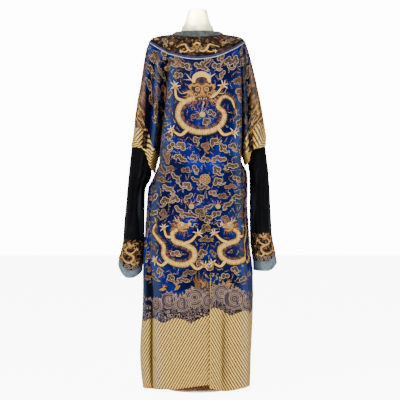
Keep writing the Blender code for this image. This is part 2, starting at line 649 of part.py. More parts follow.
def dress_form(linen, cap, metal):
    rings = [oval(row["half_width"], row["back"], row["front"], row["z"], 2.3) for row in TORSO]
    rings += [shoulder_ring(place) for place in SHOULDER_ROWS]
    rings += [oval(row["half_width"], row["back"], row["front"], row["z"]) for row in NECK_BASE]
    lathe("form_torso", rings, linen)
    rings = [oval(row["half_width"], row["half_depth"], row["half_depth"], row["z"])
             for row in FORM_NECK]
    lathe("form_neck", rings, cap)
    bm = bmesh.new()
    low, high = BASE_THICK + SEAM, TORSO[0]["z"] - SEAM
    bmesh.ops.create_cone(bm, cap_ends=True, segments=20, radius1=POLE_RADIUS,
                          radius2=POLE_RADIUS, depth=high - low)
    bmesh.ops.translate(bm, verts=bm.verts, vec=(0, 0, (low + high) / 2))
    finish("stand_pole", bm, metal)
    bm = bmesh.new()
    bmesh.ops.create_cone(bm, cap_ends=True, segments=48, radius1=BASE_RADIUS,
                          radius2=BASE_RADIUS - 0.002, depth=BASE_THICK)
    bmesh.ops.translate(bm, verts=bm.verts, vec=(0, 0, BASE_THICK / 2))
    finish("stand_base", bm, metal)


def main():
    for thing in list(bpy.data.objects):
        bpy.data.objects.remove(thing)
    silk = material_for("blue silk", (0.01, 0.06, 0.28), 0.4)
    black = material_for("black silk", (0.01, 0.01, 0.014), 0.55)
    gold = material_for("gold embroidery on black", (0.22, 0.15, 0.07), 0.5)
    grey = material_for("grey blue edging", (0.16, 0.20, 0.22), 0.8)
    navy = material_for("navy edging", (0.01, 0.01, 0.08), 0.6)
    pale = material_for("pale piping", (0.6, 0.55, 0.5), 0.6)
    linen = material_for("cream linen", (0.83, 0.77, 0.62), 0.9)
    brass = material_for("brass", (0.65, 0.45, 0.18), 0.35, 1.0)
    metal = material_for("pale metal", (0.7, 0.7, 0.68), 0.35, 1.0)
    half_panel(LEFT, "panel_left", silk)
    half_panel(RIGHT, "panel_right", silk)
    overlap(silk)
    collar_strip("collar", [0, 0.5, 1, 1.5, 2], WALL + LAID, gold)
    collar_strip("collar_edging", EDGING_WIDE, WALL + LAID, navy)
    collar_strip("collar_piping", PIPING_WIDE, WALL + LAID, pale)
    neck_band(grey)
    for number, row in enumerate(TOGGLES, 1):
        toggle(number, row, brass, navy)
    for side, name in ((LEFT, "left"), (RIGHT, "right")):
        tube("lower_sleeve_" + name, side, LOWER_SLEEVE[side], 1, black)
        tube("cuff_" + name, side, CUFF[side], 1, gold)
        tube("cuff_edging_" + name, side, CUFF_EDGING[side], 1, grey)
    dress_form(linen, linen, metal)


main()
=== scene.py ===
import math
import random
from functools import lru_cache

import bmesh
import bpy
import numpy as np
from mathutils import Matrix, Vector


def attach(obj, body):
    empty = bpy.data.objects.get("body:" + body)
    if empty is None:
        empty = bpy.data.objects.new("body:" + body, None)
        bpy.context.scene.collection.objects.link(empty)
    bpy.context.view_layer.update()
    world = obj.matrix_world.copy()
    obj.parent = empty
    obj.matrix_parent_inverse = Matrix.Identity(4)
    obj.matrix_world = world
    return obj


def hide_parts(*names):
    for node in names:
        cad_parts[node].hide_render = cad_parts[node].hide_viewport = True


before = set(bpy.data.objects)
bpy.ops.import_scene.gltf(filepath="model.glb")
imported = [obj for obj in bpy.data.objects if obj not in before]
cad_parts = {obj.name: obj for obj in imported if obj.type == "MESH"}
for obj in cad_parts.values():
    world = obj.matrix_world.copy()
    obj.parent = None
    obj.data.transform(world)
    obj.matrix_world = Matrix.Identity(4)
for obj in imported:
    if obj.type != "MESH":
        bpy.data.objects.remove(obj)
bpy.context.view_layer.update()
left, right = -1, 1
sideNames = {left: "left", right: "right"}
print("frame loaded:", len(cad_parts), "nodes")


# ---- the robe's surface, the same as in the solids: rings from the neck to the hem
def table(columns, rows):
    names = columns.split()
    return [dict(zip(names, row)) for row in rows]


rings = table("zBack zSide zFront seam back front power", (
    (1.349, 1.366, 1.320, 0.010, 0.078, 0.090, 2.0),
    (1.312, 1.359, 1.282, 0.012, 0.097, 0.106, 2.1),
    (1.272, 1.343, 1.238, 0.015, 0.113, 0.119, 2.3),
    (1.205, 1.290, 1.190, 0.019, 0.125, 0.129, 2.4),
    (1.120, 1.185, 1.110, 0.024, 0.133, 0.135, 2.5),
    (1.020, 1.075, 1.015, 0.028, 0.137, 0.138, 2.6),
    (0.906, 0.975, 0.906, 0.028, 0.137, 0.139, 2.6)))
sides = {
    left: table("reach edge cleft web crease cleftDepth creaseDepth", (
        (0.1026, 0.052, 0.062, 0.073, 0.088, 0.00, 0.00),
        (0.1500, 0.078, 0.091, 0.108, 0.130, 0.01, 0.00),
        (0.1840, 0.094, 0.110, 0.134, 0.157, 0.05, 0.01),
        (0.2024, 0.100, 0.119, 0.151, 0.168, 0.36, 0.16),
        (0.2194, 0.109, 0.124, 0.155, 0.179, 0.60, 0.34),
        (0.2376, 0.121, 0.135, 0.159, 0.190, 0.80, 0.42),
        (0.2496, 0.136, 0.146, 0.171, 0.202, 1.00, 0.46))),
    right: table("reach edge cleft web crease cleftDepth creaseDepth", (
        (0.1050, 0.056, 0.066, 0.077, 0.090, 0.00, 0.00),
        (0.1490, 0.098, 0.110, 0.121, 0.133, 0.00, 0.00),
        (0.1810, 0.138, 0.148, 0.157, 0.167, 0.01, 0.03),
        (0.2016, 0.157, 0.166, 0.175, 0.185, 0.16, 0.26),
        (0.2276, 0.160, 0.170, 0.179, 0.191, 0.36, 0.36),
        (0.2496, 0.162, 0.172, 0.184, 0.197, 0.56, 0.36),
        (0.2667, 0.161, 0.168, 0.186, 0.203, 1.00, 0.36)))}
sleeveEnd = {
    left: ((0.167, -0.034, 0.834), (0.184, -0.078, 0.862), (0.206, -0.050, 0.920),
           (0.243, -0.050, 0.931), (0.257, 0.004, 0.937), (0.244, 0.056, 0.931),
           (0.206, 0.060, 0.915), (0.184, 0.082, 0.862), (0.167, 0.038, 0.834)),
    right: ((0.185, -0.034, 0.862), (0.198, -0.074, 0.878), (0.210, -0.050, 0.918),
            (0.250, -0.050, 0.930), (0.2655, 0.004, 0.942), (0.251, 0.056, 0.934),
            (0.212, 0.060, 0.912), (0.198, 0.078, 0.874), (0.185, 0.038, 0.862))}
bodyRings = table("z seam back front left right leftEdge rightEdge leftFold rightFold dip", (
    (0.906, 0.028, 0.137, 0.139, 0.147, 0.169, 0.136, 0.160, 0.000, 0.000, 0.000),
    (0.870, 0.028, 0.138, 0.140, 0.149, 0.176, 0.136, 0.158, 0.001, 0.001, 0.000),
    (0.832, 0.028, 0.139, 0.141, 0.162, 0.190, 0.142, 0.157, 0.003, 0.002, 0.000),
    (0.800, 0.029, 0.140, 0.142, 0.177, 0.193, 0.148, 0.157, 0.004, 0.002, 0.000),
    (0.770, 0.030, 0.141, 0.143, 0.190, 0.1935, 0.154, 0.158, 0.006, 0.003, 0.000),
    (0.720, 0.032, 0.142, 0.144, 0.194, 0.192, 0.160, 0.159, 0.008, 0.004, 0.000),
    (0.640, 0.035, 0.144, 0.145, 0.200, 0.196, 0.165, 0.160, 0.012, 0.006, 0.001),
    (0.550, 0.039, 0.146, 0.147, 0.205, 0.202, 0.163, 0.166, 0.017, 0.006, 0.002),
    (0.454, 0.047, 0.148, 0.149, 0.210, 0.213, 0.158, 0.176, 0.022, 0.007, 0.004),
    (0.434, 0.047, 0.148, 0.149, 0.210, 0.213, 0.157, 0.177, 0.022, 0.007, 0.004),
    (0.380, 0.047, 0.149, 0.150, 0.210, 0.214, 0.154, 0.181, 0.024, 0.008, 0.006),
    (0.300, 0.047, 0.150, 0.151, 0.212, 0.213, 0.152, 0.184, 0.025, 0.008, 0.010),
    (0.220, 0.047, 0.150, 0.151, 0.218, 0.210, 0.151, 0.184, 0.025, 0.008, 0.012),
    (0.140, 0.047, 0.150, 0.151, 0.221, 0.206, 0.150, 0.183, 0.024, 0.008, 0.013),
    (0.070, 0.047, 0.149, 0.150, 0.217, 0.204, 0.150, 0.182, 0.022, 0.008, 0.013),
    (0.012, 0.047, 0.148, 0.149, 0.210, 0.202, 0.150, 0.181, 0.020, 0.008, 0.012)))
shape = {
    "collarRing": 2, "underarmRing": 6, "tipY": 0.004, "outerShare": 0.65, "shoulderRise": 2.2,
    "cleftHalf": 0.010, "sideY": -0.035, "lobeY": 0.080, "sideRound": 0.012,
    "middle": {left: 0.075, right: 0.107}, "partBelow": 0.838, "ventTop": 0.454,
    "ventOpen": 0.020, "ventLap": {left: 0.012, right: -0.001},
    "ventStep": {left: 0.008, right: -0.001}, "hemFade": 0.300,
    "hem": {left: (0.022, 0.006, 0.003, 0.000, -0.002, -0.002, 0.0, 0.0, 0.002, 0.003, 0.003),
            right: (0.007, -0.005, 0.010, 0.010, 0.006, 0.003, 0.0, 0.0, 0.002, 0.003, 0.003)},
    "overlapEdge": (13.25, 13.25, 13.25, 12.95, 12.65, 12.35, 12.15),
    "overlapBelow": 11.50, "overlapSettled": 0.720, "overlapRamp": 0.45, "innerLayer": 0.0045,
    "wall": 0.002, "seam": 0.0003, "laid": 0.0004,
}
fine = {  # columns in each span between two stations, and rows in each section
    "upper": (10, 10, 10, 9, 6, 6, 14, 14, 6, 6, 9, 10, 10, 10),
    "lower": (10, 10, 10, 10, 9, 16, 14, 10, 10, 10),
    "ringRows": (9, 10, 12, 17, 20, 23), "bodyStep": 0.005, "sleeveRows": 16,
}


def catmull(before, start, end, after, t):
    straight = (end - start) * t + start
    bend = ((start * 2 - before - end) * (1 - t) + (end * 2 - start - after) * t) * 0.5
    return straight + bend * (t * (1 - t))


def along(values, place):
    index = min(int(place), len(values) - 2)
    start, end = values[index], values[index + 1]
    before = values[index - 1] if index else start * 2 - end
    after = values[index + 2] if index + 2 < len(values) else end * 2 - start
    return catmull(before, start, end, after, place - index)


def rowAt(rows, place):
    return {name: along([row[name] for row in rows], place) for name in rows[0]}


def smoothStep(value):
    value = min(max(value, 0.0), 1.0)
    return value * value * (3 - 2 * value)


@lru_cache(None)
def upperStations(side, place):  # fifteen points, from the centre back round the sleeve
    ring, edge = rowAt(rings, place), rowAt(sides[side], place)
    reach = edge["reach"]
    outer = edge["crease"] + shape["outerShare"] * (reach - edge["crease"])
    level = edge["cleft"] / reach * smoothStep((place - 2) / 4)
    halves = []
    for front in (False, True):
        seam = 0.0 if front else ring["seam"] * side
        depth = ring["front"] if front else -ring["back"]
        zEnd = ring["zFront"] if front else ring["zBack"]
        half = []
        outs = (seam, 0.5 * (seam + edge["edge"]), edge["edge"], edge["cleft"], edge["web"],
                edge["crease"], outer)
        for index, out in enumerate(outs):
            share = min(abs((out - seam) / (reach - seam)), 1.0)
            y = depth * (1 - share ** ring["power"]) ** (1 / ring["power"])
            if index == 3:
                y += (math.copysign(shape["cleftHalf"], depth) - y) * edge["cleftDepth"]
            elif index == 5:
                y *= 1 - edge["creaseDepth"]
            rise = max(out / reach - level, 0.0) / (1 - level)
            z = zEnd + (ring["zSide"] - zEnd) * rise ** shape["shoulderRise"]
            half.append(Vector((out * side, y, z)))
        halves.append(half)
    tip = Vector((reach * side, shape["tipY"], ring["zSide"]))
    return halves[0] + [tip] + halves[1][::-1]


@lru_cache(None)
def bodyStations(side, z):  # eleven points of one half ring below the underarm
    place = 0
    while place < len(bodyRings) - 2 and bodyRings[place + 1]["z"] > z:
        place += 1
    span = bodyRings[place]["z"] - bodyRings[place + 1]["z"]
    ring = rowAt(bodyRings, place + min(max((bodyRings[place]["z"] - z) / span, 0.0), 1.0))
    name = sideNames[side]
    wide, edge, fold = ring[name], ring[name + "Edge"], ring[name + "Fold"]
    back, front, seam = ring["back"], ring["front"], ring["seam"] * side
    parted = smoothStep((shape["ventTop"] - z) / shape["ventOpen"])
    lapped = smoothStep((shape["ventTop"] - shape["ventOpen"] - z) / shape["ventOpen"])
    part = smoothStep((z - shape["partBelow"]) / (bodyRings[0]["z"] - shape["partBelow"]))
    outsAndDepths = (
        (seam + shape["ventLap"][side] * lapped * side, -back + shape["ventStep"][side] * parted),
        (shape["middle"][side], -back + ring["dip"] * (0.3 if side == left else 1.0)),
        (edge, -back * 0.93),
        (edge + 0.35 * (wide - edge), -back * 0.80 + fold),
        (wide - shape["sideRound"], -shape["lobeY"]),
        (wide, shape["sideY"]),
        (wide - shape["sideRound"], shape["lobeY"] * 0.55),
        (wide - 0.026, front * 0.76),
        (0.72 * wide, front * 0.93),
        (0.38 * wide, front - ring["dip"] * 0.6),
        (0.0, front))
    points = [Vector((out * side, y, z)) for out, y in outsAndDepths]
    if part > 0:
        above = upperStations(side, 6)
        halves = [Vector((above[3].x, shape["cleftHalf"] * k, above[3].z)) for k in (-0.5, 0, 0.5)]
        for point, top in zip(points, above[:4] + halves + above[11:]):
            point.x += (top.x - point.x) * part
            point.y += (top.y - point.y) * part
    lift = max(0.0, 1 - z / shape["hemFade"]) ** 2
    for point, height in zip(points, shape["hem"][side]):
        point.z += height * lift
    return points


def through(points, mirrored, place):
    last = len(points) - 1
    index = min(int(place), last - 1)
    before = points[index - 1] if index else mirrored[1]
    after = points[index + 2] if index + 2 <= last else mirrored[last - 1]
    return catmull(before, points[index], points[index + 1], after, place - index)


def columnsOf(spans):
    places = [0.0]
    for index, count in enumerate(spans):
        places += [index + (step + 1) / count for step in range(count)]
    return places


def overlapEdgeAt(row):  # column of the overlap's closing edge
    if row >= 0:
        return along(shape["overlapEdge"], row)
    low, settled = shape["overlapBelow"], shape["overlapSettled"]
    share = smoothStep((-row - settled) / (bodyRings[0]["z"] - settled))
    return low + (shape["overlapEdge"][-1] - low) * share


def normalsOf(grid, side):
    across, down = np.gradient(grid, axis=1), np.gradient(grid, axis=0)
    normal = np.cross(across, down) * -side
    return normal / np.maximum(np.linalg.norm(normal, axis=2, keepdims=True), 1e-12)


# ---- creases, given one by one: ends in the picture plane (x, z), width, depth; back or front
creases = {
    "back": (
        ((-0.036, 1.245), (-0.020, 1.130), 0.010, -0.0012), ((0.052, 1.240), (0.066, 1.080), 0.012, -0.0014),
        ((0.088, 1.235), (0.112, 1.060), 0.011, 0.0016), ((-0.068, 1.200), (-0.062, 1.020), 0.010, 0.0014),
        ((-0.090, 1.130), (-0.105, 0.930), 0.009, -0.0018), ((-0.100, 1.010), (-0.128, 0.800), 0.010, 0.0018),
        ((0.124, 1.130), (0.132, 0.880), 0.012, -0.0018), ((0.142, 1.020), (0.150, 0.740), 0.009, 0.0016),
        ((0.052, 0.990), (0.048, 0.830), 0.012, 0.0012), ((-0.020, 0.960), (-0.044, 0.780), 0.012, -0.0012),
        ((-0.070, 0.850), (-0.088, 0.590), 0.011, 0.0018), ((-0.132, 0.760), (-0.146, 0.520), 0.008, -0.0022),
        ((0.085, 0.800), (0.088, 0.560), 0.013, -0.0016), ((0.128, 0.700), (0.140, 0.470), 0.010, 0.0018),
        ((0.005, 0.700), (-0.008, 0.500), 0.012, 0.0014), ((-0.036, 0.560), (-0.050, 0.300), 0.010, -0.0018),
        ((-0.108, 0.520), (-0.112, 0.060), 0.009, 0.0026), ((-0.124, 0.440), (-0.136, 0.120), 0.007, -0.0022),
        ((-0.062, 0.260), (-0.066, 0.016), 0.012, 0.0020), ((-0.012, 0.330), (-0.020, 0.012), 0.014, -0.0018),
        ((0.020, 0.250), (0.024, 0.030), 0.009, 0.0014), ((0.070, 0.420), (0.078, 0.010), 0.012, 0.0026),
        ((0.098, 0.330), (0.094, 0.008), 0.008, -0.0026), ((0.132, 0.400), (0.138, 0.020), 0.013, 0.0020),
        ((0.156, 0.340), (0.160, 0.060), 0.007, -0.0018), ((-0.176, 0.640), (-0.180, 0.080), 0.009, 0.0022),
        ((-0.194, 0.500), (-0.196, 0.120), 0.006, -0.0016), ((0.030, 0.470), (0.056, 0.380), 0.008, 0.0010),
        ((-0.150, 1.250), (-0.158, 1.030), 0.010, 0.0020), ((-0.168, 1.180), (-0.180, 0.960), 0.008, -0.0020),
        ((-0.158, 1.080), (-0.166, 0.880), 0.008, 0.0016), ((-0.196, 1.180), (-0.222, 0.960), 0.009, -0.0018),
        ((-0.210, 1.120), (-0.240, 0.940), 0.007, 0.0014), ((-0.178, 1.305), (-0.196, 1.180), 0.009, 0.0012),
        ((0.182, 1.270), (0.206, 1.100), 0.009, -0.0018), ((0.202, 1.230), (0.238, 1.010), 0.009, 0.0020),
        ((0.214, 1.090), (0.232, 0.930), 0.007, -0.0020), ((0.178, 1.120), (0.184, 0.900), 0.008, 0.0018),
        ((0.236, 1.070), (0.250, 0.940), 0.006, -0.0012), ((0.158, 1.300), (0.178, 1.200), 0.010, 0.0012),
        ((0.100, 0.900), (0.150, 0.860), 0.009, -0.0012), ((-0.120, 0.880), (-0.090, 0.840), 0.008, -0.0010)),
    "front": (
        ((0.030, 1.220), (0.044, 1.050), 0.012, -0.0014), ((-0.048, 1.230), (-0.056, 1.030), 0.011, 0.0016),
        ((-0.086, 1.210), (-0.098, 0.990), 0.010, -0.0016), ((0.082, 1.180), (0.096, 0.960), 0.010, 0.0016),
        ((0.118, 1.090), (0.128, 0.860), 0.009, -0.0016), ((-0.118, 1.060), (-0.126, 0.850), 0.009, 0.0018),
        ((0.020, 0.940), (0.026, 0.720), 0.013, 0.0014), ((-0.030, 0.900), (-0.040, 0.640), 0.012, -0.0016),
        ((-0.086, 0.820), (-0.094, 0.480), 0.010, 0.0020), ((0.070, 0.780), (0.074, 0.450), 0.012, -0.0018),
        ((0.120, 0.700), (0.126, 0.300), 0.010, 0.0022), ((-0.134, 0.640), (-0.140, 0.200), 0.009, -0.0022),
        ((-0.060, 0.480), (-0.066, 0.030), 0.012, 0.0024), ((0.038, 0.420), (0.042, 0.020), 0.011, 0.0022),
        ((0.098, 0.360), (0.104, 0.016), 0.009, -0.0024), ((-0.016, 0.330), (-0.020, 0.020), 0.012, -0.0018),
        ((-0.110, 0.330), (-0.116, 0.020), 0.008, 0.0018), ((0.150, 0.460), (0.158, 0.060), 0.009, 0.0020),
        ((-0.168, 0.560), (-0.176, 0.100), 0.008, 0.0020), ((-0.160, 1.220), (-0.180, 1.000), 0.010, 0.0018),
        ((-0.200, 1.160), (-0.230, 0.950), 0.008, -0.0016), ((0.172, 1.250), (0.196, 1.050), 0.010, -0.0018),
        ((0.206, 1.180), (0.236, 0.960), 0.008, 0.0018), ((0.186, 1.060), (0.190, 0.900), 0.008, 0.0014)),
}


def creased(grid, side):
    normal = normalsOf(grid, side)
    offset = np.zeros(grid.shape[:2])
    for name, facing in (("back", -1), ("front", 1)):
        seen = np.clip(normal[..., 1] * facing * 2.0, 0, 1)
        for start, end, width, depth in creases[name]:
            begin, run = np.array(start), np.array(end) - np.array(start)
            place = grid[..., (0, 2)] - begin
            t = (place @ run) / (run @ run)
            nearest = place - np.clip(t, 0, 1)[..., None] * run
            away = np.linalg.norm(nearest, axis=2)
            fade = np.clip(np.minimum(t, 1 - t) * 4 + 0.25, 0, 1)
            wave = np.exp(-(away / width) ** 2) - 0.35 * np.exp(-(away / (width * 2.2)) ** 2)
            offset += seen * fade * wave * depth
    inside = np.minimum(offset, 0.0016)  # stays near its solid
    return grid + normal * inside[..., None]


def buildSurface(side):
    upperPlaces, lowerPlaces = columnsOf(fine["upper"]), columnsOf(fine["lower"])
    rows = columnsOf(fine["ringRows"])
    upper = np.array([[through(upperStations(side, r), upperStations(-side, r), c)
                       for c in upperPlaces] for r in rows])
    count = round((bodyRings[0]["z"] - bodyRings[-1]["z"]) / fine["bodyStep"])
    heights = list(np.linspace(bodyRings[0]["z"], bodyRings[-1]["z"], count + 1))
    lower = np.array([[through(bodyStations(side, z), bodyStations(-side, z), c)
                       for c in lowerPlaces] for z in heights])
    upper, lower = creased(upper, side), creased(lower, side)
    backCount, frontFirst = sum(fine["upper"][:3]), sum(fine["upper"][:11])
    acrossCount = sum(fine["lower"][3:7])
    share = np.linspace(0, 1, acrossCount + 1)[:, None]
    across = upper[-1, backCount] * (1 - share) + upper[-1, frontFirst] * share
    lower[0] = np.concatenate([upper[-1, :backCount], across, upper[-1, frontFirst + 1:]])
    corners = [Vector((out * side, y, z)) for out, y, z in sleeveEnd[side]]
    inner = (corners[0] + corners[-1]) / 2 + Vector((-0.003 * side, 0, -0.002))
    loop = corners + [inner]
    end = []
    for index, parts in enumerate(fine["upper"][3:11]):
        for step in range(parts):
            end.append(catmull(loop[index - 1], loop[index], loop[index + 1],
                               loop[(index + 2) % 10], step / parts))
    for index, parts in ((8, (acrossCount + 1) // 2), (9, acrossCount // 2)):
        for step in range(parts):
            end.append(catmull(loop[index - 1], loop[index], loop[(index + 1) % 10],
                               loop[(index + 2) % 10], step / parts))
    end = np.array(end + [end[0]])
    top = np.concatenate([upper[-1, backCount:frontFirst + 1], across[-2::-1]])
    share = np.linspace(0, 1, fine["sleeveRows"] + 1)[:, None, None]
    sleeve = top * (1 - share) + end * share
    return {"side": side, "upper": upper, "lower": lower, "sleeve": sleeve, "rows": rows,
            "heights": heights, "upperPlaces": upperPlaces, "lowerPlaces": lowerPlaces,
            "backCount": backCount, "frontFirst": frontFirst}


surfaces = {side: buildSurface(side) for side in (left, right)}
print("robe surface worked out")


# ---- charts: a point of the cloth from its distance along the ring and its height
chartStep = 0.0025


def arcs(row):
    return np.concatenate([[0], np.cumsum(np.linalg.norm(np.diff(row, axis=0), axis=1))])


def chartOf(grids, levels, side, reverse=False):
    count = 1 + int(0.62 / chartStep)
    distances = np.arange(count) * chartStep
    points, normals = [], []
    for grid in grids:
        normal = normalsOf(grid, side)
        for row, facing in zip(grid, normal):
            if reverse:
                row, facing = row[::-1], facing[::-1]
            place = arcs(row)
            points.append(np.stack([np.interp(distances, place, row[:, k]) for k in range(3)], 1))
            normals.append(np.stack([np.interp(distances, place, facing[:, k]) for k in range(3)], 1))
    return {"levels": np.array(levels), "points": np.array(points), "normals": np.array(normals)}


def lookUp(chart, distance, level):
    rows = np.interp(-np.asarray(level), -chart["levels"], np.arange(len(chart["levels"])))
    columns = np.clip(np.asarray(distance) / chartStep, 0, chart["points"].shape[1] - 1.001)
    rows = np.clip(rows, 0, len(chart["levels"]) - 1.001)
    row, column = rows.astype(int), columns.astype(int)
    down, over = (rows - row)[:, None], (columns - column)[:, None]
    result = []
    for name in ("points", "normals"):
        grid = chart[name]
        top = grid[row, column] * (1 - over) + grid[row, column + 1] * over
        low = grid[row + 1, column] * (1 - over) + grid[row + 1, column + 1] * over
        result.append(top * (1 - down) + low * down)
    return result


ringLevels = [along([ring["zBack"] for ring in rings], row) for row in surfaces[left]["rows"]]
backCharts, frontCharts = {}, {}
for side, surface in surfaces.items():
    levels = ringLevels + surface["heights"][1:]
    grids = [surface["upper"], surface["lower"][1:]]
    backCharts[side] = chartOf(grids, levels, side)
    frontCharts[side] = chartOf(grids, levels, side, reverse=True)


def onBack(s, v):  # s runs to the right in the picture from the centre back seam
    s, v = np.asarray(s), np.asarray(v)
    points, normals = lookUp(backCharts[right], np.maximum(s, 0), v)
    otherPoints, otherNormals = lookUp(backCharts[left], np.maximum(-s, 0), v)
    choose = (s < 0)[:, None]
    return np.where(choose, otherPoints, points), np.where(choose, otherNormals, normals)


def onFront(s, v):  # s runs to the viewer's right, seen from the front
    s, v = np.asarray(s), np.asarray(v)
    points, normals = lookUp(frontCharts[left], np.maximum(s, 0), v)
    otherPoints, otherNormals = lookUp(frontCharts[right], np.maximum(-s, 0), v)
    choose = (s < 0)[:, None]
    return np.where(choose, otherPoints, points), np.where(choose, otherNormals, normals)


print("charts ready")


# ---- finishes: a wire is a shader socket, and sums of wires add Math nodes
class Wire:
    def __init__(self, paint, socket):
        self.paint, self.socket = paint, socket

    def join(self, operation, *others):
        sockets = dict(enumerate((self,) + others))
        return self.paint.node("ShaderNodeMath", {"operation": operation}, sockets)

    def swapped(self, operation, other):
        return self.paint.node("ShaderNodeMath", {"operation": operation}, {0: other, 1: self})

    def __add__(self, other):
        return self.join("ADD", other)

    def __radd__(self, other):
        return self.swapped("ADD", other)

    def __sub__(self, other):
        return self.join("SUBTRACT", other)

    def __rsub__(self, other):
        return self.swapped("SUBTRACT", other)

    def __mul__(self, other):
        return self.join("MULTIPLY", other)

    def __rmul__(self, other):
        return self.swapped("MULTIPLY", other)

    def __truediv__(self, other):
        return self.join("DIVIDE", other)

    def __gt__(self, other):
        return self.join("GREATER_THAN", other)

    def __lt__(self, other):
        return self.join("LESS_THAN", other)


class Paint:
    def __init__(self, name, colour, roughness, **constants):
        self.material = bpy.data.materials.new(name)
        self.material.use_nodes = True
        self.tree = self.material.node_tree
        self.shader = self.tree.nodes["Principled BSDF"]
        self.set("Base Color", colour)
        self.set("Roughness", roughness)
        for key, value in constants.items():
            words = {"sheen": "Sheen Weight", "sheenRoughness": "Sheen Roughness",
                     "specular": "Specular IOR Level", "metallic": "Metallic",
                     "sheenTint": "Sheen Tint"}
            self.set(words[key], value)

    def set(self, name, value):
        if isinstance(value, Wire):
            self.tree.links.new(value.socket, self.shader.inputs[name])
        else:
            self.shader.inputs[name].default_value = (*value, 1) if isinstance(value, tuple) else value

    def node(self, kind, settings, sockets, out=0):
        made = self.tree.nodes.new(kind)
        for key, value in settings.items():
            if key == "stops":
                ramp = made.color_ramp
                while len(ramp.elements) < len(value):
                    ramp.elements.new(1.0)
                for element, (place, colour) in zip(ramp.elements, value):
                    element.position, element.color = place, (*colour, 1)
            else:
                setattr(made, key, value)
        for key, value in sockets.items():
            if isinstance(value, Wire):
                self.tree.links.new(value.socket, made.inputs[key])
            else:
                made.inputs[key].default_value = (*value, 1) if self.isColour(made, key, value) else value
        return Wire(self, made.outputs[out])

    def isColour(self, made, key, value):
        return made.inputs[key].type == "RGBA" and len(value) == 3

    def mix(self, share, first, second, blend="MIX"):
        return self.node("ShaderNodeMix", {"data_type": "RGBA", "blend_type": blend},
                         {0: share, 6: first, 7: second}, 2)

    def place(self, which="Object"):
        return self.node("ShaderNodeTexCoord", {}, {}, which)

    def chart(self, name):
        return self.node("ShaderNodeUVMap", {"uv_map": name}, {})

    def parts(self, vector):
        split = self.node("ShaderNodeSeparateXYZ", {}, {0: vector})
        return [Wire(self, split.socket.node.outputs[k]) for k in range(3)]

    def noise(self, vector, scale, detail=3.0, rough=0.5):
        return self.node("ShaderNodeTexNoise", {}, {"Vector": vector, "Scale": scale,
                                                    "Detail": detail, "Roughness": rough})

    def cells(self, vector, scale, feature="F1", jitter=1.0, out="Distance"):
        return self.node("ShaderNodeTexVoronoi", {"feature": feature},
                         {"Vector": vector, "Scale": scale, "Randomness": jitter}, out)

    def bands(self, place, period, soft=0.35, share=0.5):  # 0 to 1 stripes with soft edges
        wave = (place * (math.tau / period)).join("SINE") * (0.5 / soft) + share
        return wave.join("MAXIMUM", 0.0).join("MINIMUM", 1.0)

    def step(self, value, low, high):
        return self.node("ShaderNodeMapRange", {"clamp": True, "interpolation_type": "SMOOTHSTEP"},
                         {0: value, 1: low, 2: high, 3: 0.0, 4: 1.0})

    def bump(self, height, distance, strength=1.0, normal=None):
        sockets = {"Height": height, "Distance": distance, "Strength": strength}
        if normal:
            sockets["Normal"] = normal
        return self.node("ShaderNodeBump", {}, sockets)


def straight(colour):  # a colour as the eye reads it, 0 to 255, for the shader
    return tuple(round((c / 255 / 12.92) if c < 11 else ((c / 255 + 0.055) / 1.055) ** 2.4, 4) for c in colour)


silkLook = {
    "deep": straight((0, 1, 18)), "mid": straight((0, 6, 60)), "bright": straight((0, 36, 138)), "shade": straight((1, 1, 10)),
    "paleGold": straight((238, 196, 106)), "brownGold": straight((50, 36, 12)), "sleeveBrown": straight((44, 28, 20)),
    "period": 0.0108, "slant": 0.58, "sleevePeriod": 0.0120,
    "waveLine": straight((138, 118, 110)), "waveDark": straight((14, 8, 14)), "waveMid": straight((50, 34, 40)),
    "curl": 72.0, "curlRings": 2.6,
}


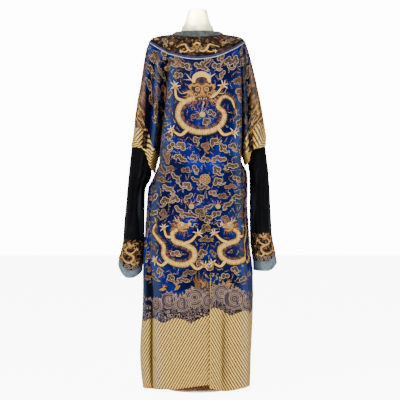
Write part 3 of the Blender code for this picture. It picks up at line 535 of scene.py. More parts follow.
def silkPaint(name, side):
    look = silkLook
    paint = Paint(name, look["mid"], 0.5, sheen=0.0, sheenRoughness=0.4, specular=0.03)
    cloth = paint.chart("cloth")
    u, v, _ = paint.parts(cloth)
    w, outer, _ = paint.parts(paint.chart("sleeve"))
    hollow, _, _ = paint.parts(paint.chart("fold"))
    soft = paint.noise(cloth, 9.0, 3.0)
    fineNoise = paint.noise(cloth, 240.0, 2.0)
    blue = paint.node("ShaderNodeValToRGB", {"stops": ((0.30, look["deep"]), (0.52, look["mid"]), (0.74, look["bright"]))}, {0: soft})
    # the woven ground's fine lozenges
    lozenge = paint.bands(u + v, 0.0042, 0.9) * paint.bands(u - v, 0.0042, 0.9)
    blue = paint.mix(lozenge * 0.14, blue, straight((6, 38, 104)))
    # the sleeve's brown and gold outer part: curls in close cells
    close = paint.cells(cloth, 120.0, jitter=0.9)
    closeCurls = (close * 34.0).join("SINE") * 0.5 + 0.5
    patch = paint.noise(cloth, 34.0, 3.0, 0.6)
    brown = paint.mix(closeCurls * paint.step(patch, 0.36, 0.56), look["sleeveBrown"], straight((168, 118, 58)))
    brown = paint.mix(paint.step(patch, 0.60, 0.72) * 0.8, brown, look["mid"])
    blue = paint.mix(paint.step(outer, -0.004, 0.008), blue, brown)
    # waves above the stripes: curls in every cell, with a broken upper edge
    wobble = paint.noise(cloth, 26.0, 2.0)
    curls = paint.cells(cloth, look["curl"], jitter=0.75)
    rings = paint.step((curls * (math.tau * look["curlRings"])).join("SINE"), 0.1, 0.8)
    tiles = paint.cells(cloth, look["curl"], jitter=0.75, out="Color")
    tile, _, _ = paint.parts(tiles)
    sea = paint.mix(rings, look["waveDark"], look["waveLine"])
    sea = paint.mix(tile * 0.5, sea, look["waveMid"])
    # where each zone ends: scallops over the stripes, and hills of waves over them
    period = 0.105
    scallop = ((u + 0.02) * (math.pi / period)).join("SINE").join("ABSOLUTE")
    stripeTop = (0.264 if side == left else 0.292) + scallop * 0.018 + (wobble - 0.5) * 0.012 + paint.step(u, 0.08, 0.0) * 0.014
    hill = (u * (math.tau / 0.19) + (1.0 if side == left else 2.6)).join("COSINE")
    waveTop = (0.348 if side == left else 0.366) + hill * 0.014 + (wobble - 0.5) * 0.07 + paint.step(u, 0.11, 0.0) * 0.075
    inStripes = v < stripeTop
    inWaves = v < waveTop
    slantWay = u + v * look["slant"]
    stripes = paint.bands(slantWay, look["period"], 0.38, 0.64)
    threadShade = paint.noise(paint.node("ShaderNodeMapping", {}, {"Vector": cloth, "Scale": (60.0, 8.0, 1.0)}), 6.0)
    gold = paint.mix(stripes, look["brownGold"], look["paleGold"])
    gold = paint.mix(paint.step(threadShade, 0.35, 0.8) * 0.5, gold, straight((150, 118, 70)), "MIX")
    # the sleeve's striped end and the darker, denser work on the sleeve
    sleeveTop = 0.070 + (wobble - 0.5) * 0.02 if side == left else 0.090 + (wobble - 0.5) * 0.03
    inSleeve = w < sleeveTop
    sleeveStripes = paint.bands(u * 0.5 + w * 0.9, look["sleevePeriod"], 0.30, 0.56)
    sleeveGold = paint.mix(sleeveStripes, straight((70, 48, 22)), look["paleGold"])
    colour = paint.mix(inWaves, blue, sea)
    colour = paint.mix(inStripes, colour, gold)
    colour = paint.mix(inSleeve, colour, sleeveGold)
    # stains and a little soiling, spread by noise over the whole silk
    dirt = paint.step(paint.noise(cloth, 34.0, 4.0, 0.65), 0.62, 0.74) * 0.22
    colour = paint.mix(dirt, colour, straight((58, 40, 24)))
    # painted shade: the deeper a point lies in a fold, the nearer its colour goes to black; painted highlight with a
    # little wear: ridges turn a little paler and bluer
    colour = paint.mix(paint.step(hollow, 0.0005, 0.0065) * 0.96, colour, look["shade"])
    colour = paint.mix(paint.step(hollow, -0.0010, -0.0070) * 0.10, colour, straight((120, 150, 190)))
    paint.set("Base Color", colour)
    embroidered = inWaves.join("MAXIMUM", inStripes).join("MAXIMUM", inSleeve)
    paint.set("Roughness", 0.40 + embroidered * 0.22 + (fineNoise - 0.5) * 0.16)
    weave = paint.bands(u, 0.0011, 0.8) * 0.5 + paint.bands(v, 0.0011, 0.8) * 0.5
    height = weave * 0.25 + lozenge * 0.3 + fineNoise * 0.3
    height = height + inStripes * stripes * 1.4 + inWaves * rings * 1.1 + inSleeve * sleeveStripes * 1.4
    paint.set("Normal", paint.bump(height, 0.0005, 0.55))
    return paint.material


def liningPaint():
    paint = Paint("lining silk", straight((232, 176, 116)), 0.55, sheen=0.2)
    where = paint.place()
    x, y, z = paint.parts(where)
    faded = paint.noise(where, 14.0, 3.0)
    colour = paint.mix(paint.step(faded, 0.35, 0.7), straight((214, 140, 76)), straight((238, 186, 128)))
    paint.set("Base Color", colour)
    paint.set("Normal", paint.bump(paint.bands(z, 0.0012, 0.8) + paint.noise(where, 300.0) * 0.6, 0.0003, 0.4))
    return paint.material


def blackPaint():
    paint = Paint("black ribbed silk", straight((6, 7, 10)), 0.6, sheen=0.01, sheenRoughness=0.35, specular=0.07)
    cloth = paint.chart("cloth")
    u, v, _ = paint.parts(cloth)
    streaks = paint.noise(paint.node("ShaderNodeMapping", {}, {"Vector": cloth, "Scale": (70.0, 4.0, 1.0)}), 1.6, 4.0, 0.6)
    worn = paint.step(paint.noise(cloth, 22.0, 4.0), 0.5, 0.78)
    wide = paint.noise(paint.node("ShaderNodeMapping", {}, {"Vector": cloth, "Scale": (26.0, 2.4, 1.0)}), 1.0, 3.0, 0.5)
    colour = paint.mix(paint.step(streaks, 0.45, 0.80), straight((0, 0, 2)), straight((7, 8, 12)))
    # painted highlight: wide soft pale bands stand in for the sheen on the black silk
    colour = paint.mix(paint.step(wide, 0.52, 0.72) * 0.7, colour, straight((62, 68, 84)))
    colour = paint.mix(worn * 0.2, colour, straight((32, 32, 38)))
    paint.set("Base Color", colour)
    paint.set("Roughness", 0.42 + paint.noise(cloth, 60.0) * 0.25)
    ribs = paint.bands(u, 0.0016, 0.8) + paint.bands(v, 0.0009, 0.9) * 0.5
    paint.set("Normal", paint.bump(ribs + streaks * 1.2, 0.0005, 0.5))
    return paint.material


def groundPaint():  # the black-brown ground under the collar and cuff embroidery
    paint = Paint("embroidered black ground", straight((8, 5, 4)), 0.7, sheen=0.0, specular=0.08)
    cloth = paint.chart("cloth")
    u, v, _ = paint.parts(cloth)
    flecks = paint.cells(cloth, 150.0, jitter=1.0)
    curls = (flecks * 30.0).join("SINE") * 0.5 + 0.5
    patch = paint.step(paint.noise(cloth, 70.0, 3.0), 0.48, 0.64)
    colour = paint.mix(curls * patch, straight((5, 3, 3)), straight((88, 62, 32)))
    colour = paint.mix(paint.step(paint.noise(cloth, 48.0, 2.0), 0.55, 0.7) * 0.5 * curls, colour, straight((168, 124, 110)))
    paint.set("Base Color", colour)
    paint.set("Normal", paint.bump(curls * patch + paint.noise(cloth, 400.0) * 0.4, 0.0006, 0.7))
    return paint.material


def edgingPaint(name, dark, light, rough=0.85):
    paint = Paint(name, light, rough, sheen=0.06)
    cloth = paint.chart("cloth")
    u, v, _ = paint.parts(cloth)
    blotch = paint.noise(cloth, 45.0, 4.0, 0.6)
    warp = paint.noise(paint.node("ShaderNodeMapping", {}, {"Vector": cloth, "Scale": (1.0, 14.0, 1.0)}), 60.0, 3.0)
    colour = paint.mix(paint.step(blotch, 0.3, 0.7), dark, light)
    colour = paint.mix(paint.step(warp, 0.45, 0.7) * 0.5, colour, dark)
    paint.set("Base Color", colour)
    twill = paint.bands(u + v, 0.0013, 0.8)
    paint.set("Roughness", rough - twill * 0.12)
    paint.set("Normal", paint.bump(twill * 0.8 + paint.noise(cloth, 260.0) * 0.8, 0.0005, 0.6))
    return paint.material


def threadPaint():  # couched threads, coloured piece by piece
    paint = Paint("couched thread", straight((214, 172, 106)), 0.5, sheen=0.0, specular=0.2)
    tint = paint.node("ShaderNodeVertexColor", {"layer_name": "tint"}, {})
    cloth = paint.chart("cloth")
    u, v, _ = paint.parts(cloth)
    rows = paint.bands(v, 0.0013, 0.7)
    ticks = paint.bands(u + v * 0.5, 0.0034, 0.8)
    mottle = paint.noise(cloth, 190.0, 3.0)
    where = paint.place()
    worn = paint.step(paint.noise(where, 55.0, 4.0, 0.6), 0.50, 0.74)
    colour = paint.mix(rows * 0.45, tint, straight((188, 160, 128)), "MULTIPLY")
    colour = paint.mix(paint.step(mottle, 0.45, 0.75) * 0.30 + ticks * 0.10, colour, straight((126, 92, 52)), "MULTIPLY")
    colour = paint.mix(worn * 0.22, colour, straight((70, 50, 44)))
    paint.set("Base Color", colour)
    paint.set("Roughness", 0.42 + mottle * 0.25)
    paint.set("Normal", paint.bump(rows + ticks * 0.6 + mottle * 0.5, 0.0005, 0.5))
    return paint.material


def linenPaint(name, light, dark):
    paint = Paint(name, light, 0.85, sheen=0.2)
    where = paint.place()
    x, y, z = paint.parts(where)
    tone = paint.noise(where, 12.0, 4.0)
    warp = paint.bands(x + y * 0.4, 0.0014, 0.8)
    weft = paint.bands(z, 0.0014, 0.8)
    slub = paint.noise(paint.node("ShaderNodeMapping", {}, {"Vector": where, "Scale": (1.0, 1.0, 12.0)}), 90.0, 3.0)
    colour = paint.mix(paint.step(tone, 0.3, 0.75), light, dark)
    colour = paint.mix(slub * 0.12 + warp * 0.05, colour, straight((196, 178, 140)))
    seam = (x + 0.0095).join("ABSOLUTE") < 0.0007
    colour = paint.mix(seam * 0.5, colour, straight((176, 158, 122)))
    paint.set("Base Color", colour)
    paint.set("Normal", paint.bump(warp * 0.5 + weft * 0.5 + slub * 0.6 - seam * 1.5, 0.0004, 0.5))
    return paint.material


def metalPaint():
    paint = Paint("painted stand metal", straight((214, 211, 202)), 0.4)
    where = paint.place()
    scuff = paint.step(paint.noise(where, 42.0, 5.0, 0.65), 0.58, 0.72)
    paint.set("Base Color", paint.mix(scuff * 0.5, straight((216, 213, 205)), straight((150, 146, 138))))
    paint.set("Roughness", 0.34 + scuff * 0.25)
    paint.set("Normal", paint.bump(paint.noise(where, 500.0), 0.0002, 0.25))
    return paint.material


def brassPaint():
    paint = Paint("worn gilt brass", straight((206, 160, 84)), 0.3, metallic=1.0)
    where = paint.place()
    worn = paint.step(paint.noise(where, 260.0, 4.0), 0.45, 0.7)
    paint.set("Base Color", paint.mix(worn, straight((212, 168, 92)), straight((120, 84, 44))))
    paint.set("Roughness", 0.26 + worn * 0.3)
    paint.set("Normal", paint.bump(paint.cells(where, 700.0), 0.0003, 0.5))
    return paint.material


paints = {
    "silk": {left: silkPaint("left blue silk", left), right: silkPaint("right blue silk", right)},
    "lining": liningPaint(), "black": blackPaint(), "ground": groundPaint(), "thread": threadPaint(),
    "grey": edgingPaint("grey-blue edging", straight((40, 48, 48)), straight((86, 94, 92))),
    "cuffGrey": edgingPaint("pale grey-blue edging", straight((70, 90, 102)), straight((124, 138, 144))),
    "navy": edgingPaint("navy ribbon", straight((2, 8, 52)), straight((6, 28, 104)), 0.6),
    "pale": edgingPaint("pale piping cord", straight((176, 160, 142)), straight((226, 214, 200)), 0.7),
    "linen": linenPaint("cream linen", straight((255, 246, 212)), straight((255, 238, 190))),
    "metal": metalPaint(), "brass": brassPaint(),
}
print("finishes made")


# ---- meshes from grids of points
def gridBlock(bm, points, charts):  # points in rows, and for each chart its two values a point
    rows, columns = points.shape[:2]
    made = bmesh.ops.create_grid(bm, x_segments=columns - 1, y_segments=rows - 1, size=1)
    flat = points.reshape(-1, 3)
    places = {}
    for index, (vert, point) in enumerate(zip(made["verts"], flat)):
        vert.co = point
        places[vert] = index
    layers = [bm.loops.layers.uv.get(name) or bm.loops.layers.uv.new(name) for name in charts]
    values = [value.reshape(-1, 2) for value in charts.values()]
    faces = {face for vert in made["verts"] for face in vert.link_faces}
    for face in faces:
        for loop in face.loops:
            index = places[loop.vert]
            for layer, value in zip(layers, values):
                loop[layer].uv = value[index]


def finishPiece(name, bm, materials, inside=None, wall=None, weld=True, smooth=True):
    if weld:
        bmesh.ops.remove_doubles(bm, verts=bm.verts, dist=0.00001)
    if inside is not None:
        bmesh.ops.recalc_face_normals(bm, faces=bm.faces)
        bm.faces.ensure_lookup_table()
        inside = Vector(inside)
        score = sum((f.calc_center_median() - inside).dot(f.normal) * f.calc_area() for f in bm.faces)
        if score < 0:
            bmesh.ops.reverse_faces(bm, faces=bm.faces)
    mesh = bpy.data.meshes.new(name)
    bm.to_mesh(mesh)
    bm.free()
    if smooth:
        mesh.shade_smooth()
    for material in materials:
        mesh.materials.append(material)
    piece = bpy.data.objects.new(name, mesh)
    bpy.context.collection.objects.link(piece)
    if wall:
        solidify = piece.modifiers.new("Wall", "SOLIDIFY")
        solidify.thickness, solidify.offset = wall, -1
        if len(materials) > 1:
            solidify.material_offset = 1
    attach(piece, "root")
    return piece


def seamShifted(points, side):
    moved = points.copy()
    moved[..., 0] += side * shape["seam"] / 2
    return moved


def sunk(points, places, row, side):  # the right front goes under the overlap
    if side == left:
        return points
    edge = overlapEdgeAt(row)
    moved = points.copy()
    for index, column in enumerate(places):
        if column < 9:
            continue
        share = smoothStep((column - edge + shape["overlapRamp"]) / (shape["overlapRamp"] - 0.05))
        inwards = Vector((points[index][0] * 0.25, points[index][1], 0)).normalized()
        moved[index] = points[index] - np.array(inwards) * shape["innerLayer"] * share
    return moved


def clothChart(points, levels, offset=0.0):
    return np.stack([np.stack([arcs(row) + offset, np.full(len(row), level)], 1)
                     for row, level in zip(points, levels)])


# this depth feeds the painted shade in the folds and the painted highlight on the ridges of the blue silk
def hollowOf(points, side, reach=0.036, step=0.004):  # how far each point lies inside the cloth's smoothed line
    count = int(3 * reach / step)
    kernel = np.exp(-(np.arange(-count, count + 1) * step / reach) ** 2)
    kernel /= kernel.sum()
    normals = normalsOf(points, side)
    result = []
    for row, facing in zip(points, normals):
        place = arcs(row)
        evenly = np.arange(0, place[-1] + step, step)
        line = [np.convolve(np.pad(np.interp(evenly, place, row[:, k]), count, mode="reflect", reflect_type="odd"), kernel, "valid") for k in range(3)]
        soft = np.stack([np.interp(place, evenly, value) for value in line], 1)
        result.append(np.sum((soft - row) * facing, axis=1))
    return np.stack([np.array(result), np.zeros(points.shape[:2])], 2)


def areaOf(points):
    first, second = points[1:, 1:] - points[:-1, :-1], points[1:, :-1] - points[:-1, 1:]
    return float(np.linalg.norm(np.cross(first, second), axis=2).sum() / 2)


def cutSize(piece, grids, flat=None):  # a piece's flat size, and the area of its shape
    area = sum(areaOf(grid) for grid in grids)
    wide, tall = [max(arcs(line)[-1] for line in lines) for lines in (grids[0], grids[0].transpose(1, 0, 2))]
    flat = flat or (wide, tall)
    print(piece.name, "flat", [round(value, 3) for value in flat], "area", round(area, 4), "share", round(area / flat[0] / flat[1], 3))
    min(area, flat[0] * flat[1])


def panel(side):
    surface = surfaces[side]
    backCount, frontFirst = surface["backCount"], surface["frontFirst"]
    lowerUpperPlaces = [c if c <= 3 else c + 4 for c in surface["lowerPlaces"]]
    upper = np.array([sunk(row, surface["upperPlaces"], place, side)
                      for row, place in zip(surface["upper"], surface["rows"])])
    lower = np.array([sunk(row, lowerUpperPlaces, -z, side)
                      for row, z in zip(surface["lower"], surface["heights"])])
    lower[0, :backCount + 1] = upper[-1, :backCount + 1]
    tail = upper.shape[1] - frontFirst
    lower[0, -tail:] = upper[-1, frontFirst:]
    sleeve = surface["sleeve"]
    upperChart = clothChart(surface["upper"], ringLevels)
    lowerChart = clothChart(surface["lower"], surface["heights"])
    # height over the sleeve's end, for its striped band
    ends = np.full(upper.shape[1], -9.0)
    ends[backCount:frontFirst + 1] = sleeve[-1, :frontFirst - backCount + 1, 2]
    over = np.maximum(upper[..., 2] - ends[None, :], 0.0)
    border = np.interp(upper[..., 2], (0.95, 1.05, 1.2, 1.3), (0.200, 0.198, 0.200, 0.205))
    upperSleeve = np.stack([over, np.abs(upper[..., 0]) - border], 2)
    far = np.full(lower.shape[:2] + (2,), 9.0)
    far[..., 1] = -9.0
    shares = np.linspace(1, 0, len(sleeve))[:, None]
    drop = np.linalg.norm(sleeve[0] - sleeve[-1], axis=1)[None, :] * shares
    ringArc = arcs(sleeve[0]) + upperChart[-1, backCount, 0]
    sleeveCloth = np.stack([np.broadcast_to(ringArc, drop.shape), 0.95 + drop * 0], 2)
    bm = bmesh.new()
    sleeveParts = np.stack([drop, np.abs(sleeve[..., 0]) - 0.2], 2)
    gridBlock(bm, seamShifted(upper, side), {"cloth": upperChart, "sleeve": upperSleeve, "fold": hollowOf(surface["upper"], side)})
    gridBlock(bm, seamShifted(lower, side), {"cloth": lowerChart, "sleeve": far, "fold": hollowOf(surface["lower"], side)})
    gridBlock(bm, seamShifted(sleeve, side), {"cloth": sleeveCloth, "sleeve": sleeveParts, "fold": np.zeros_like(sleeveParts)})
    name = "robe_panel_" + sideNames[side]
    piece = finishPiece(name, bm, [paints["silk"][side], paints["lining"]], (0.1 * side, 0, 0.9), shape["wall"])
    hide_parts("panel_" + sideNames[side])
    # cut in one over the shoulder: half the girth and the sleeve wide, back and front long
    wide = max(arcs(row)[-1] for row in upper) / 2 + 0.02
    tall = sum(arcs(grid[:, column])[-1] for grid in (upper, lower) for column in (0, -1))
    cutSize(piece, (upper, lower, sleeve), (wide, tall))
    return piece


panels = {side: panel(side) for side in (left, right)}
print("silk panels made")


def overlapPiece():
    surface = surfaces[right]
    rows = [(grid, place, row, place) for grid, place, row in
            zip(surface["upper"], [surface["upperPlaces"]] * len(surface["rows"]), surface["rows"])]
    rows += [(grid, [c if c <= 3 else c + 4 for c in surface["lowerPlaces"]], -z, None)
             for grid, z in zip(surface["lower"][1:], surface["heights"][1:])]
    columns = 36
    points, charts = [], []
    levels = ringLevels + surface["heights"][1:]
    for (grid, places, row, _), level in zip(rows, levels):
        first = overlapEdgeAt(row)
        wanted = first + (14 - first) * np.linspace(0, 1, columns + 1)
        line = np.stack([np.interp(wanted, places, grid[:, k]) for k in range(3)], 1)
        points.append(line)
        back = arcs(line)
        charts.append(np.stack([back[-1] - back, np.full(columns + 1, level)], 1))
    bm = bmesh.new()
    charts = np.array(charts)
    far = np.full(charts.shape, 9.0)
    far[..., 1] = -9.0
    gridBlock(bm, seamShifted(np.array(points), right), {"cloth": charts, "sleeve": far, "fold": np.zeros_like(charts)})
    piece = finishPiece("robe_overlap_front", bm, [paints["silk"][right], paints["lining"]], (0.08, 0, 0.9), shape["wall"])
    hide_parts("overlap_front")
    cutSize(piece, (np.array(points),))
    return piece


overlapFront = overlapPiece()
print("overlap made")


# ---- collar, edging, piping and neck band, from the closing edge round the back
def ringWalk(step=0.1):
    gap, edge = 0.01, shape["overlapEdge"][0]
    fullSide = np.arange(0, 14 + step / 2, step)
    walk = [(right, edge - gap)] + [(right, c) for c in fullSide[::-1] if c < edge - 0.06]
    walk += [(left, c) for c in fullSide[1:]]
    walk += [(right, c) for c in fullSide[::-1] if 14 - step / 2 > c > edge + 0.06]
    return walk + [(right, edge + gap)]


def surfaceAt(side, column, row):  # a creased point and its normal
    surface = surfaces[side]
    rowPlace = float(np.interp(row, surface["rows"], np.arange(len(surface["rows"]))))
    columnPlace = float(np.interp(column, surface["upperPlaces"], np.arange(len(surface["upperPlaces"]))))
    grid = surface["upper"]
    if "normal" not in surface:
        surface["normal"] = normalsOf(grid, side)
    result = []
    for values in (grid, surface["normal"]):
        r, c = min(int(rowPlace), len(values) - 2), min(int(columnPlace), values.shape[1] - 2)
        a, b = rowPlace - r, columnPlace - c
        result.append((values[r, c] * (1 - a) + values[r + 1, c] * a) * (1 - b)
                      + (values[r, c + 1] * (1 - a) + values[r + 1, c + 1] * a) * b)
    return result


def neckStrip(name, node, rows, out, material, thick, crown=0.0):
    points = []
    for index, row in enumerate(rows):
        line = []
        for side, column in ringWalk():
            point, normal = surfaceAt(side, column, row)
            lift = out + crown * math.sin(math.pi * index / (len(rows) - 1))
            line.append(point + normal * lift)
        points.append(line)
    points = np.array(points)
    place = arcs(points[len(rows) // 2])
    depth = arcs(points[:, points.shape[1] // 2])
    charts = np.stack([np.broadcast_to(place, points.shape[:2]),
                       np.broadcast_to(depth[:, None], points.shape[:2])], 2)
    bm = bmesh.new()
    gridBlock(bm, points, {"cloth": charts})
    piece = finishPiece(name, bm, [material], (0, 0, 1.2), thick)
    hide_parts(node)
    if len(rows) > 5:
        cutSize(piece, (points,))
    return piece, points


laidOut = shape["wall"] + shape["laid"]
collar, collarPoints = neckStrip("embroidered_collar", "collar",
                                 list(np.linspace(0, 2, 19)), laidOut, paints["ground"], 0.002)
collarEdging, _ = neckStrip("collar_edging_band", "collar_edging",
                            list(np.linspace(2.02, 2.14, 5)), laidOut, paints["navy"], 0.0018, 0.0004)
collarPiping, _ = neckStrip("collar_piping_cord", "collar_piping",
                            list(np.linspace(2.16, 2.21, 5)), laidOut, paints["pale"], 0.0018, 0.0010)


def neckBand():
    look = {"height": 0.028, "top": 1.3765, "lean": 0.013, "foot": 0.0012, "rows": 10}
    rng = random.Random(4)
    points = []
    walk = ringWalk()
    for step in range(look["rows"] + 1):
        share = step / look["rows"]
        line = []
        for index, (side, column) in enumerate(walk):
            foot, _ = surfaceAt(side, column, 0)
            inwards = Vector((-foot[0], -foot[1], 0)).normalized()
            wave = 0.0006 * math.sin(index * 0.55) * share + 0.0005 * math.sin(index * 0.21 + 2) * share
            tall = min(look["height"], look["top"] - foot[2])
            height = look["foot"] + (tall - look["foot"]) * share
            frayed = rng.uniform(-0.0012, 0.0004) if step == look["rows"] else 0.0
            line.append(foot + np.array(inwards) * (look["lean"] * share + wave) + np.array((0, 0, height + frayed)))
        points.append(line)
    points = np.array(points)
    place, depth = arcs(points[0]), arcs(points[:, 5])
    charts = np.stack([np.broadcast_to(place, points.shape[:2]),
                       np.broadcast_to(depth[:, None], points.shape[:2])], 2)
    bm = bmesh.new()
    gridBlock(bm, points, {"cloth": charts})
    piece = finishPiece("grey_neck_band", bm, [paints["grey"]], (0, 0, 1.3), shape["wall"])
    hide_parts("neck_band")
    cutSize(piece, (points,))
    return piece, points


band, bandPoints = neckBand()
print("collar and neck band made")

# ---- lower sleeves and hoof cuffs
tubeColumns = "zBack zOut zFront zIn out inner back front"
lowerSleeve = {
    left: table(tubeColumns, (
        (0.962, 0.968, 0.962, 0.900, 0.2466, 0.173, -0.044, 0.050),
        (0.905, 0.926, 0.905, 0.866, 0.2556, 0.176, -0.044, 0.050),
        (0.832, 0.832, 0.832, 0.814, 0.2670, 0.180, -0.038, 0.064),
        (0.770, 0.770, 0.770, 0.770, 0.2735, 0.2010, -0.028, 0.074),
        (0.700, 0.700, 0.700, 0.700, 0.2800, 0.2045, -0.022, 0.080),
        (0.640, 0.640, 0.640, 0.635, 0.2860, 0.2055, -0.020, 0.082),
        (0.575, 0.578, 0.572, 0.564, 0.2890, 0.2065, -0.020, 0.082))),
    right: table(tubeColumns, (
        (0.962, 0.970, 0.962, 0.915, 0.2580, 0.192, -0.044, 0.050),
        (0.905, 0.930, 0.905, 0.880, 0.2631, 0.193, -0.044, 0.050),
        (0.832, 0.832, 0.832, 0.830, 0.2760, 0.1985, -0.038, 0.064),
        (0.770, 0.770, 0.770, 0.770, 0.2806, 0.2010, -0.028, 0.074),
        (0.700, 0.700, 0.700, 0.700, 0.2840, 0.2015, -0.022, 0.080),
        (0.650, 0.650, 0.650, 0.650, 0.2870, 0.2025, -0.020, 0.082),
        (0.601, 0.602, 0.600, 0.598, 0.2890, 0.2035, -0.020, 0.082)))}
cuffRows = {
    left: table(tubeColumns, (
        (0.5752, 0.5782, 0.5722, 0.5642, 0.2890, 0.2065, -0.020, 0.082),
        (0.535, 0.545, 0.540, 0.535, 0.2945, 0.2065, -0.023, 0.088),
        (0.495, 0.522, 0.518, 0.500, 0.3010, 0.2085, -0.026, 0.094),
        (0.457, 0.505, 0.500, 0.478, 0.3060, 0.2125, -0.029, 0.099))),
    right: table(tubeColumns, (
        (0.6012, 0.6022, 0.6002, 0.5982, 0.2890, 0.2035, -0.020, 0.082),
        (0.565, 0.570, 0.560, 0.560, 0.2940, 0.2055, -0.023, 0.088),
        (0.525, 0.540, 0.530, 0.525, 0.3000, 0.2100, -0.026, 0.094),
        (0.492, 0.522, 0.512, 0.492, 0.3040, 0.2150, -0.029, 0.099)))}
edgingRows = {
    left: table(tubeColumns, (
        (0.4572, 0.5052, 0.5002, 0.4782, 0.3060, 0.2125, -0.029, 0.099),
        (0.442, 0.493, 0.488, 0.464, 0.3080, 0.2140, -0.030, 0.101),
        (0.427, 0.480, 0.476, 0.450, 0.3100, 0.2155, -0.031, 0.103))),
    right: table(tubeColumns, (
        (0.4922, 0.5222, 0.5122, 0.4922, 0.3040, 0.2150, -0.029, 0.099),
        (0.473, 0.504, 0.496, 0.474, 0.3070, 0.2160, -0.030, 0.101),
        (0.454, 0.486, 0.480, 0.456, 0.3100, 0.2170, -0.031, 0.103)))}
sleeveFolds = {  # angle round from the back, first and last share of the length, width, depth
    left: ((0.22, 0.18, 1.0, 0.10, -0.0046), (0.62, 0.12, 0.72, 0.11, 0.0030), (0.98, 0.30, 1.0, 0.10, -0.0040),
           (5.95, 0.05, 0.86, 0.10, -0.0036), (1.36, 0.20, 0.90, 0.10, -0.0026), (2.20, 0.15, 0.80, 0.13, -0.0034),
           (3.00, 0.25, 1.0, 0.13, -0.0042), (3.80, 0.10, 0.70, 0.12, -0.0034), (4.90, 0.30, 0.90, 0.14, -0.0026)),
    right: ((0.36, 0.20, 0.95, 0.11, -0.0044), (0.80, 0.10, 0.70, 0.11, 0.0026), (1.18, 0.15, 1.0, 0.10, -0.0034),
            (6.10, 0.22, 1.0, 0.10, -0.0038), (2.05, 0.20, 0.86, 0.12, -0.0030), (2.80, 0.12, 0.96, 0.13, -0.0040),
            (3.60, 0.22, 0.84, 0.13, -0.0034), (4.70, 0.20, 0.80, 0.14, -0.0026))}
elbowFolds = {  # share of the length, angle, how far it reaches round, depth
    left: ((0.16, 0.5, 0.9, -0.0022), (0.23, 0.3, 0.7, 0.0016), (0.34, 5.9, 0.8, -0.0018), (0.46, 0.9, 0.6, -0.0014), (0.62, 0.3, 0.7, 0.0012), (0.30, 3.0, 1.1, -0.0020), (0.55, 2.6, 0.9, 0.0014)),
    right: ((0.15, 0.7, 0.8, -0.0020), (0.26, 0.2, 0.8, 0.0016), (0.38, 1.1, 0.7, -0.0018), (0.52, 0.4, 0.6, -0.0014), (0.68, 6.1, 0.7, 0.0012), (0.28, 3.2, 1.0, -0.0020), (0.60, 2.8, 0.9, 0.0014))}


def tubeGrid(side, rows, parts, around=96):
    points = []
    for step in range((len(rows) - 1) * parts + 1):
        row = rowAt(rows, step / parts)
        xMiddle, xHalf = (row["out"] + row["inner"]) / 2, (row["out"] - row["inner"]) / 2
        yMiddle, yHalf = (row["front"] + row["back"]) / 2, (row["front"] - row["back"]) / 2
        angles = np.linspace(0, math.tau, around + 1)
        ahead, out = -np.cos(angles), np.sin(angles)
        z = row["zBack"] * np.maximum(-ahead, 0) ** 2 + row["zFront"] * np.maximum(ahead, 0) ** 2
        z += row["zOut"] * np.maximum(out, 0) ** 2 + row["zIn"] * np.maximum(-out, 0) ** 2
        power = 2 / 2.3
        x = xMiddle + xHalf * np.sign(out) * np.abs(out) ** power
        y = yMiddle + yHalf * np.sign(ahead) * np.abs(ahead) ** power
        points.append(np.stack([x * side, y, z], 1))
    points = np.array(points)
    points[:, -1] = points[:, 0]
    return points


def tubeNormals(points, side):
    wrapped = np.concatenate([points[:, -2:-1], points, points[:, 1:2]], axis=1)
    across = wrapped[:, 2:] - wrapped[:, :-2]
    down = np.gradient(points, axis=0)
    normal = np.cross(across, down) * -side
    return normal / np.maximum(np.linalg.norm(normal, axis=2, keepdims=True), 1e-12)


def tubePiece(name, node, points, materials, thick):
    charts = clothChart(points, arcs(points[:, 0]))
    bm = bmesh.new()
    gridBlock(bm, points, {"cloth": charts})
    piece = finishPiece(name, bm, materials, points.reshape(-1, 3).mean(0), thick)
    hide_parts(node)
    cutSize(piece, (points,))
    return piece


cuffCharts, sleevePieces, cuffPieces, cuffEdgings = {}, {}, {}, {}
for side, word in sideNames.items():
    points = tubeGrid(side, lowerSleeve[side], 14, 128)
    normal = tubeNormals(points, side)
    share = np.linspace(0, 1, len(points))[:, None]
    angle = np.linspace(0, math.tau, points.shape[1])[None, :]
    offset = np.zeros(points.shape[:2])
    for middle, first, last, width, depth in sleeveFolds[side]:
        turn = (angle - middle + math.pi) % math.tau - math.pi
        fade = np.clip((share - first) * 6, 0, 1) * np.clip((last - share) * 6, 0, 1)
        offset += depth * fade * np.exp(-(turn / (width * 1.4)) ** 2)
    for place, middle, reach, depth in elbowFolds[side]:
        turn = (angle - middle + math.pi) % math.tau - math.pi
        slant = share - place - turn * 0.03
        offset += depth * np.exp(-(slant / 0.022) ** 2) * np.exp(-(turn / reach) ** 2)
    ease = np.clip(share * 5 - 0.6, 0, 1) * np.clip((1 - share) * 14, 0, 1)
    points = points + normal * (np.minimum(offset, 0.0018) * ease)[..., None]
    sleevePieces[side] = tubePiece("black_lower_sleeve_" + word, "lower_sleeve_" + word,
                                   points, [paints["black"]], shape["wall"])
    cuff = tubeGrid(side, cuffRows[side], 10)
    cuffPieces[side] = tubePiece("hoof_cuff_" + word, "cuff_" + word, cuff,
                                 [paints["ground"], paints["lining"]], shape["wall"])
    cuffCharts[side] = (cuff, tubeNormals(cuff, side))
    edging = tubeGrid(side, edgingRows[side], 4)
    rng = random.Random(side + 9)
    ragged = np.array([rng.uniform(-0.0006, 0.0012) for _ in range(edging.shape[1])])
    ragged[-1] = ragged[0]
    edging[-1, :, 2] += ragged
    cuffEdgings[side] = tubePiece("cuff_edging_band_" + word, "cuff_edging_" + word, edging,
                                  [paints["cuffGrey"]], shape["wall"])
print("sleeves and cuffs made")

